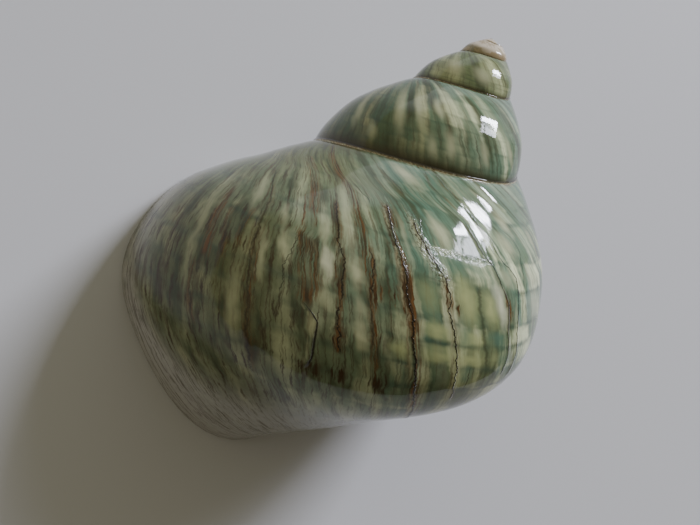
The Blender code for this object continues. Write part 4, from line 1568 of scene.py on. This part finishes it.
    def _tones(self, at: Grown, zone: Zones, lit: Term, colour: Term) -> Term:
        """Brighter left side and spire, painted light; duller base, front, gold side and feet of the older whorls,
        painted shade, near the front also a browner colour.

        Args:
            at: Growth coordinates.
            zone: Parts of the shell.
            lit: Share of the light streaks.
            colour: Colour so far.

        Returns:
            The toned colour.
        """
        bench, turns = at.bench, at.turns
        early, newer = zone.older, 1.0 - zone.old
        # painted light: lighter colour where the window light falls, mostly on the light streaks
        painted_light = turns.within(-0.85, -0.75, -0.36, -0.27) + turns.smooth(-1.20, -1.32) * newer
        colour = bench.blend(painted_light * (0.20 + 0.90 * lit), colour, self.painted_light_tint, "MULTIPLY")
        # painted shade: darker base away from the lip and darker lower gold side
        side = turns.within(-0.37, -0.33, -0.25, -0.20) * (0.65 - 0.35 * lit)
        dim = zone.pale * turns.smooth(-0.08, -0.16) * 0.6 + zone.low * side
        colour = bench.blend(dim.clamp(), colour, self.painted_shade_tint, "MULTIPLY")
        # painted shade: darker foot of the spire whorl beside the suture, on the part turned from the window
        foot = early * at.across.smooth(0.76, 0.98) * turns.smooth(-1.34, -1.22) * newer
        colour = bench.blend(foot * 0.6, colour, self.shadow)
        # darker near the front, partly a browner colour and partly painted shade, and painted shade on the spire
        # part turned from the window
        ahead = zone.front * turns.smooth(-0.17, -0.13) * (1.0 - zone.pale)
        deep = ahead + early * turns.smooth(-1.28, -1.18) * newer
        colour = bench.blend(deep * 0.8, colour, self.browner_and_shade_tint, "MULTIPLY")
        # painted shade: darker spire part turned from the window
        painted_spire_shade = early * turns.smooth(-1.22, -1.06) * newer
        return bench.blend(painted_spire_shade * 0.8, colour, self.painted_spire_shade_tint, "MULTIPLY")

    def _hairlines(self, at: Grown, zone: Zones, colour: Term) -> Term:
        """Thin dark growth lines and a fine mottle.

        Args:
            at: Growth coordinates.
            zone: Parts of the shell.
            colour: Colour so far.

        Returns:
            The colour with them.
        """
        bench, front = at.bench, zone.front
        jagged = replace(at, path=at.path + (at.grain(0.6, 1.1, 66.0, 2.0, 0.6) - 0.5) * 0.3)
        thin = jagged.grain(1.3, 0.08 + 0.08 * front, 12.0, 3.0, 0.6)
        share = thin.smooth(0.52, 0.66) * (1.0 - zone.plain * 0.5) * (0.38 + front * 0.15 + zone.brown * 0.35)
        colour = bench.blend(share * (1.0 - zone.pale * 0.5), colour, self.dark)
        where = at.grain(0.16, 0.10, 74.0, 3.0, 0.65)
        hair = (jagged.grain(0.55, 0.018, 71.0, 1.0) - 0.5).near(0.040)
        other = (jagged.grain(0.80, 0.022, 77.0, 1.0) - 0.5).near(0.045)
        lines = hair * where.smooth(0.47, 0.55) + other * where.smooth(0.52, 0.44)
        colour = bench.blend(lines.clamp() * (1.0 - zone.plain * 0.4) * (0.22 + front * 0.33), colour, self.brown)
        mottle = 0.74 + 0.52 * at.grain(0.8, 0.6, 81.0, 3.0, 0.65)
        return bench.blend(1.0, colour, bench.combine(mottle, mottle, mottle), "MULTIPLY")

    def _cords(self, at: Grown, marks: GrowthMarks, across: Term, colour: Term) -> Term:
        """Darker green lines between the cords.

        Args:
            at: Growth coordinates.
            marks: The single marks, breaks and cords.
            across: Share across, swaying a little.
            colour: Colour so far.

        Returns:
            The colour with them.
        """
        bench, turns = at.bench, at.turns
        along = bench.grain(at.path * 0.28, across * 9.0, 27.0)
        fade = 1.0 - 0.50 * turns.smooth(-0.78, -0.90) - 0.35 * turns.smooth(-0.28, -0.20)
        share = marks.cord_lines(bench, across) * along.smooth(0.30, 0.62) * fade * 0.75
        return bench.blend(share, colour, self.cord)

    def _blotches(self, at: Grown, marks: GrowthMarks, grown: Term, colour: Term) -> Term:
        """Single marks of the last whorl and of the two before it.

        Args:
            at: Growth coordinates.
            marks: The single marks, breaks and cords.
            grown: Turns and share across as one vector.
            colour: Colour so far.

        Returns:
            The colour with them.
        """
        bench = at.bench
        stray, other = at.grain(0.5, 0.3, 41.0, 1.0) - 0.5, at.grain(0.3, 0.5, 47.0, 1.0) - 0.5
        place = bench.vector("ADD", grown, bench.combine(stray * 0.010, other * 0.06, 0.0))
        grain = at.grain(2.4, 0.10, 20.0, 3.0, 0.6)
        fleck = at.grain(1.7, 0.25, 29.0, 3.0, 0.6)
        for tint, rows in marks.blotches:
            total: Feed = 0.0
            for row in rows:
                total = total + Blotch(tint, *row).cover(bench, place)
            cover, paint = total.clamp(), getattr(self, tint.value)
            if tint in (Tint.RUST, Tint.DARK):
                ragged = (cover * 0.85 + (grain - 0.5) * 3.2).smooth(0.40, 0.90) * cover.smooth(0.02, 0.30)
                cover = ragged * 0.80 + cover * fleck.smooth(0.35, 0.62) * (0.60 if tint is Tint.DARK else 0.40)
                paint = bench.blend(fleck.smooth(0.42, 0.60), paint, self.brown)
            colour = bench.blend(cover, colour, paint)
        return colour

    def _breaks(self, at: Grown, marks: GrowthMarks, jag: Term, colour: Term) -> tuple[Term, Feed, Feed]:
        """Brown stains and dark cracks along the breaks, and a painted highlight beside the deeper cracks.

        Args:
            at: Growth coordinates.
            marks: The breaks.
            jag: Their wandering, in millimetres.
            colour: Colour so far.

        Returns:
            The colour, the depth of the cracks and the share of pitted skin beside them.
        """
        bench, across = at.bench, at.across
        grain = at.grain(1.5, 0.13, 52.0, 2.5, 0.6)
        stroke = at.grain(2.6, 0.10, 57.0, 3.0, 0.6)
        wobble = 0.55 + 1.5 * at.grain(0.2, 0.9, 55.0, 2.0, 0.7)
        beside = across.within(0.30, 0.40, 0.56, 0.70)
        stain: Feed = 0.0
        cracks: Feed = 0.0
        depth: Feed = 0.0
        scuffed: Feed = 0.0
        pale: Feed = 0.0
        for mark in marks.breaks:
            far = mark.distance(bench, at.turns, across, jag, marks.turn_millimetres)
            along = mark.window(across)
            # painted highlight along the lip-side edge of the deeper cracks
            if mark.groove >= marks.painted_highlight_groove:
                pale = pale + (far - mark.width - 0.35).near(0.45, 0.05) * along * 0.4
            if mark.stain:
                stain = stain + far.near(mark.spread, 0.1 * mark.spread) * along * mark.stain
            if mark.scuff:
                scuffed = scuffed + (far - 0.1 * mark.scuff).near(mark.scuff, 0.2 * mark.scuff) * beside
            thin = (far * wobble).near(mark.width * 0.85, 0.03) * along * mark.crack
            cracks = cracks + thin
            if mark.groove >= marks.sharp_groove:
                depth = depth + thin
        broken = grain.smooth(0.28, 0.44)
        deep = bench.blend(grain.smooth(0.43, 0.57), self.rust, self.brown)
        colour = bench.blend(stain.clamp() * stroke.smooth(0.39, 0.57) * 0.9, colour, deep)
        # painted highlight in cream beside the cracks
        colour = bench.blend(pale.clamp() * broken * grain.smooth(0.62, 0.40), colour, self.cream)
        specks = at.grain(2.2, 1.3, 35.0, 2.0, 0.65).smooth(0.53, 0.60)
        colour = bench.blend(scuffed * specks * 0.85, colour, self.dark)
        return bench.blend(cracks.clamp() * broken, colour, self.crack), depth, scuffed

    def _suture(self, at: Grown, colour: Term) -> Term:
        """Pale crumbled edge and dark line of the suture, and the worn tip.

        Args:
            at: Growth coordinates.
            colour: Colour so far.

        Returns:
            The finished colour.
        """
        bench, turns, across, path = at.bench, at.turns, at.across, at.path
        crumb = bench.grain(path * 1.5, across * 60.0, 61.0, 3.0, 0.65)
        shade = bench.grain(path * 0.15, across * 6.0, 63.0)
        dull = across.near(0.13, 0.02) * turns.smooth(-0.33, -0.24)
        colour = bench.blend(dull * 0.6, colour, self.olive)
        colour = bench.blend(across.near(0.06, 0.01) * shade.smooth(0.45, 0.58) * 0.7, colour, self.rust)
        edge = across.near(0.024, 0.014) * crumb.smooth(0.36, 0.48)
        colour = bench.blend(edge * 0.85, colour, bench.blend(crumb.smooth(0.50, 0.62), self.seam, self.white))
        covered = turns.smooth(-0.80, -0.82)
        colour = bench.blend(across.smooth(0.91, 0.985) * covered * 0.65, colour, self.dark)
        seam = (across.near(0.009, 0.002) * 0.8 + across.smooth(0.975, 0.998) * covered).clamp()
        colour = bench.blend(seam * 0.85, colour, self.crack)
        tip = bench.grain(path * 0.55, across * 2.5, 67.0, 3.0, 0.6)
        wavy = turns + (tip - 0.5) * 0.9
        brownish = bench.blend(tip.smooth(0.40, 0.60), self.olive, self.seam)
        colour = bench.blend(wavy.smooth(-2.50, -2.75) * 0.8, colour, brownish)
        sandy = tip.smooth(0.46, 0.58) * 0.8 + across.smooth(0.50, 0.95) * 0.5
        bare = bench.blend(sandy.clamp(), self.worn, self.seam)
        bare = bench.blend(across.smooth(0.55, 0.90) * turns.smooth(-3.22, -3.05) * 0.8, bare, self.olive)
        worn = (wavy + across * 0.35).smooth(-2.62, -2.95)
        return bench.blend(worn * (1.0 - seam * 0.6), colour, bare)


@dataclass(frozen=True)
class PearlLining:
    """Mother of pearl of the lip and the hollow."""

    pearl: tuple = (0.72, 0.70, 0.66)
    rose: tuple = (0.72, 0.58, 0.60)
    sea: tuple = (0.50, 0.66, 0.60)
    coat: float = 0.5
    coat_roughness: float = 0.08

    def build(self) -> bpy.types.Material:
        """Make the material.

        Returns:
            The finished material.
        """
        material, bench, shader = new_material("pearl_lining")
        place = bench.node("ShaderNodeTexCoord", None, output="Object")
        slow = bench.noise(place, 55.0, 2.0)
        other = bench.noise(place, 95.0, 1.0, 0.5, 1.0)
        colour = bench.blend(slow.smooth(0.42, 0.60) * 0.7, self.pearl, self.rose)
        colour = bench.blend(other.smooth(0.48, 0.62) * 0.6, colour, self.sea)
        bench.feed(shader.inputs["Base Color"], colour)
        bench.feed(shader.inputs["Roughness"], 0.22 + 0.15 * slow)
        shader.inputs["Coat Weight"].default_value = self.coat
        shader.inputs["Coat Roughness"].default_value = self.coat_roughness
        return material


@dataclass
class Shell:
    """The polished shell, one coiled wall."""

    form: ShellForm = field(default_factory=ShellForm)
    marks: GrowthMarks = field(default_factory=GrowthMarks)
    relief: Relief = field(default_factory=Relief)
    outside: PolishedShell = field(default_factory=PolishedShell)
    inside: PearlLining = field(default_factory=PearlLining)

    def build(self) -> bpy.types.Object:
        """Returns:
            The finished piece.
        """
        grid = GrowthGrid(self.form)
        flat = grid.build()
        tree = SpiralTree(self.form, self.marks, self.relief, self.outside.build(self.marks, self.form),
                          self.inside.build())
        shell = tree.apply(flat, "turban_shell")
        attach(shell, "root")
        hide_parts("shell")
        triangles = sum(len(face.vertices) - 2 for face in shell.data.polygons)
        LOG.info("turban_shell: %d points, %d triangles", len(shell.data.vertices), triangles)
        return shell


@dataclass
class Studio:
    """Floor, light and camera."""

    camera_place: tuple = (-0.04024, 0.06747, 0.13852)
    camera_right: tuple = (0.2398, -0.8228, 0.5153)
    camera_up: tuple = (0.9375, 0.3341, 0.0972)
    camera_ahead: tuple = (0.2521, -0.4598, -0.8514)
    lens: float = 47.99
    sensor: float = 36.0
    clip: float = 0.005
    floor_half: float = 0.6
    floor_colour: tuple = (0.62, 0.62, 0.64, 1.0)
    floor_roughness: float = 0.7
    window_azimuth: float = -32.0
    window_rise: float = 31.5
    window_roll: float = -30.0
    window_distance: float = 2.0
    window_glow: float = 47.5
    window_colour: tuple = (0.85, 0.875, 1.0)
    panes: tuple = ((-0.17, 0.16, -0.05, 0.03, 2.3), (-0.09, 0.16, 0.055, 0.21, 0.5),
                    (-0.17, -0.115, 0.055, 0.21, 0.5))
    room_low: tuple = (1.0, 0.905, 0.60)
    room_high: tuple = (0.96, 0.92, 0.68)
    room_dark: tuple = (0.22, 0.19, 0.13)
    room_glow: float = 0.45
    bright_side: tuple = (0.64, 0.77)
    bright_from: tuple = (-0.7, 0.9)
    sill_side: tuple = (0.985, -0.17)
    sill_reach: tuple = (0.55, 0.92)
    sill_height: tuple = (0.42, 0.22)
    sill: tuple = (3.0, 3.1, 3.2)

    def floor(self) -> None:
        """Plain pale floor."""
        mesh = bpy.data.meshes.new("floor")
        half = self.floor_half
        mesh.from_pydata([(-half, -half, 0.0), (half, -half, 0.0), (half, half, 0.0), (-half, half, 0.0)], [],
                         [(0, 1, 2, 3)])
        floor = bpy.data.objects.new("floor", mesh)
        bpy.context.scene.collection.objects.link(floor)
        material, _, shader = new_material("floor")
        shader.inputs["Base Color"].default_value = self.floor_colour
        shader.inputs["Roughness"].default_value = self.floor_roughness
        mesh.materials.append(material)
        floor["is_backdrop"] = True

    def camera(self) -> None:
        """Camera at the viewing angle of the photograph."""
        data = bpy.data.cameras.new("camera")
        data.lens = self.lens
        data.sensor_width = self.sensor
        data.clip_start = self.clip
        camera = bpy.data.objects.new("camera", data)
        right, up, ahead = (Vector(v).normalized() for v in (self.camera_right, self.camera_up, self.camera_ahead))
        turn = Matrix((right, up, -ahead)).transposed()
        camera.matrix_world = Matrix.Translation(self.camera_place) @ turn.to_4x4()
        bpy.context.scene.collection.objects.link(camera)
        bpy.context.scene.camera = camera

    def light(self) -> None:
        """Soft daylight from a window of three panes."""
        azimuth, rise = math.radians(self.window_azimuth), math.radians(self.window_rise)
        toward = Vector((math.cos(rise) * math.cos(azimuth), math.cos(rise) * math.sin(azimuth), math.sin(rise)))
        level = Vector((math.sin(azimuth), -math.cos(azimuth), 0.0))
        upward = toward.cross(level)
        upward = upward if upward.z > 0.0 else -upward
        roll = math.radians(self.window_roll)
        wide = math.cos(roll) * level + math.sin(roll) * upward
        high = toward.cross(wide)
        high = high if high.z > 0.0 else -high
        for number, (left, right, low, top, share) in enumerate(self.panes):
            data = bpy.data.lights.new(f"pane_{number}", "AREA")
            data.shape = "RECTANGLE"
            data.size = (right - left) * self.window_distance
            data.size_y = (top - low) * self.window_distance
            data.energy = self.window_glow * share * math.pi * data.size * data.size_y
            data.color = self.window_colour
            lamp = bpy.data.objects.new(f"pane_{number}", data)
            place = self.window_distance * (toward + 0.5 * (left + right) * wide + 0.5 * (low + top) * high)
            turn = Matrix((wide, toward.cross(wide), toward)).transposed()
            lamp.matrix_world = Matrix.Translation(place) @ turn.to_4x4()
            bpy.context.scene.collection.objects.link(lamp)

    def room(self) -> None:
        """Dim warm room, darker on the viewer's side, with a bright strip low down beside the window."""
        world = bpy.data.worlds.new("room")
        world.use_nodes = True
        bench = Bench(world.node_tree)
        back = world.node_tree.nodes["Background"]
        way = bench.node("ShaderNodeTexCoord", None, output="Generated")
        x, y, z = bench.split(bench.vector("NORMALIZE", way))
        side = (x * self.bright_side[0] + y * self.bright_side[1]).smooth(*self.bright_from)
        colour = bench.blend(z.smooth(-0.1, 0.9), self.room_low, self.room_high)
        colour = bench.blend(side, self.room_dark, colour)
        toward = (x * self.sill_side[0] + y * self.sill_side[1]).smooth(*self.sill_reach)
        colour = bench.blend(toward * z.smooth(*self.sill_height), colour, self.sill)
        bench.feed(back.inputs["Color"], colour)
        back.inputs["Strength"].default_value = self.room_glow
        bpy.context.scene.world = world

    def build(self) -> None:
        """Set the stage."""
        self.floor()
        self.camera()
        self.light()
        self.room()


def write_sizes() -> None:
    boxes = {"cad": CAD_BOX, "visual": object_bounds()}
    plain = {key: [[float(x) for x in corner] for corner in box] for key, box in boxes.items()}


def main() -> None:
    """Build the pieces in order."""
    logging.basicConfig(level=logging.INFO, format="%(name)s: %(message)s")
    Shell().build()
    Studio().build()
    write_sizes()


if __name__ == "__main__":
    main()
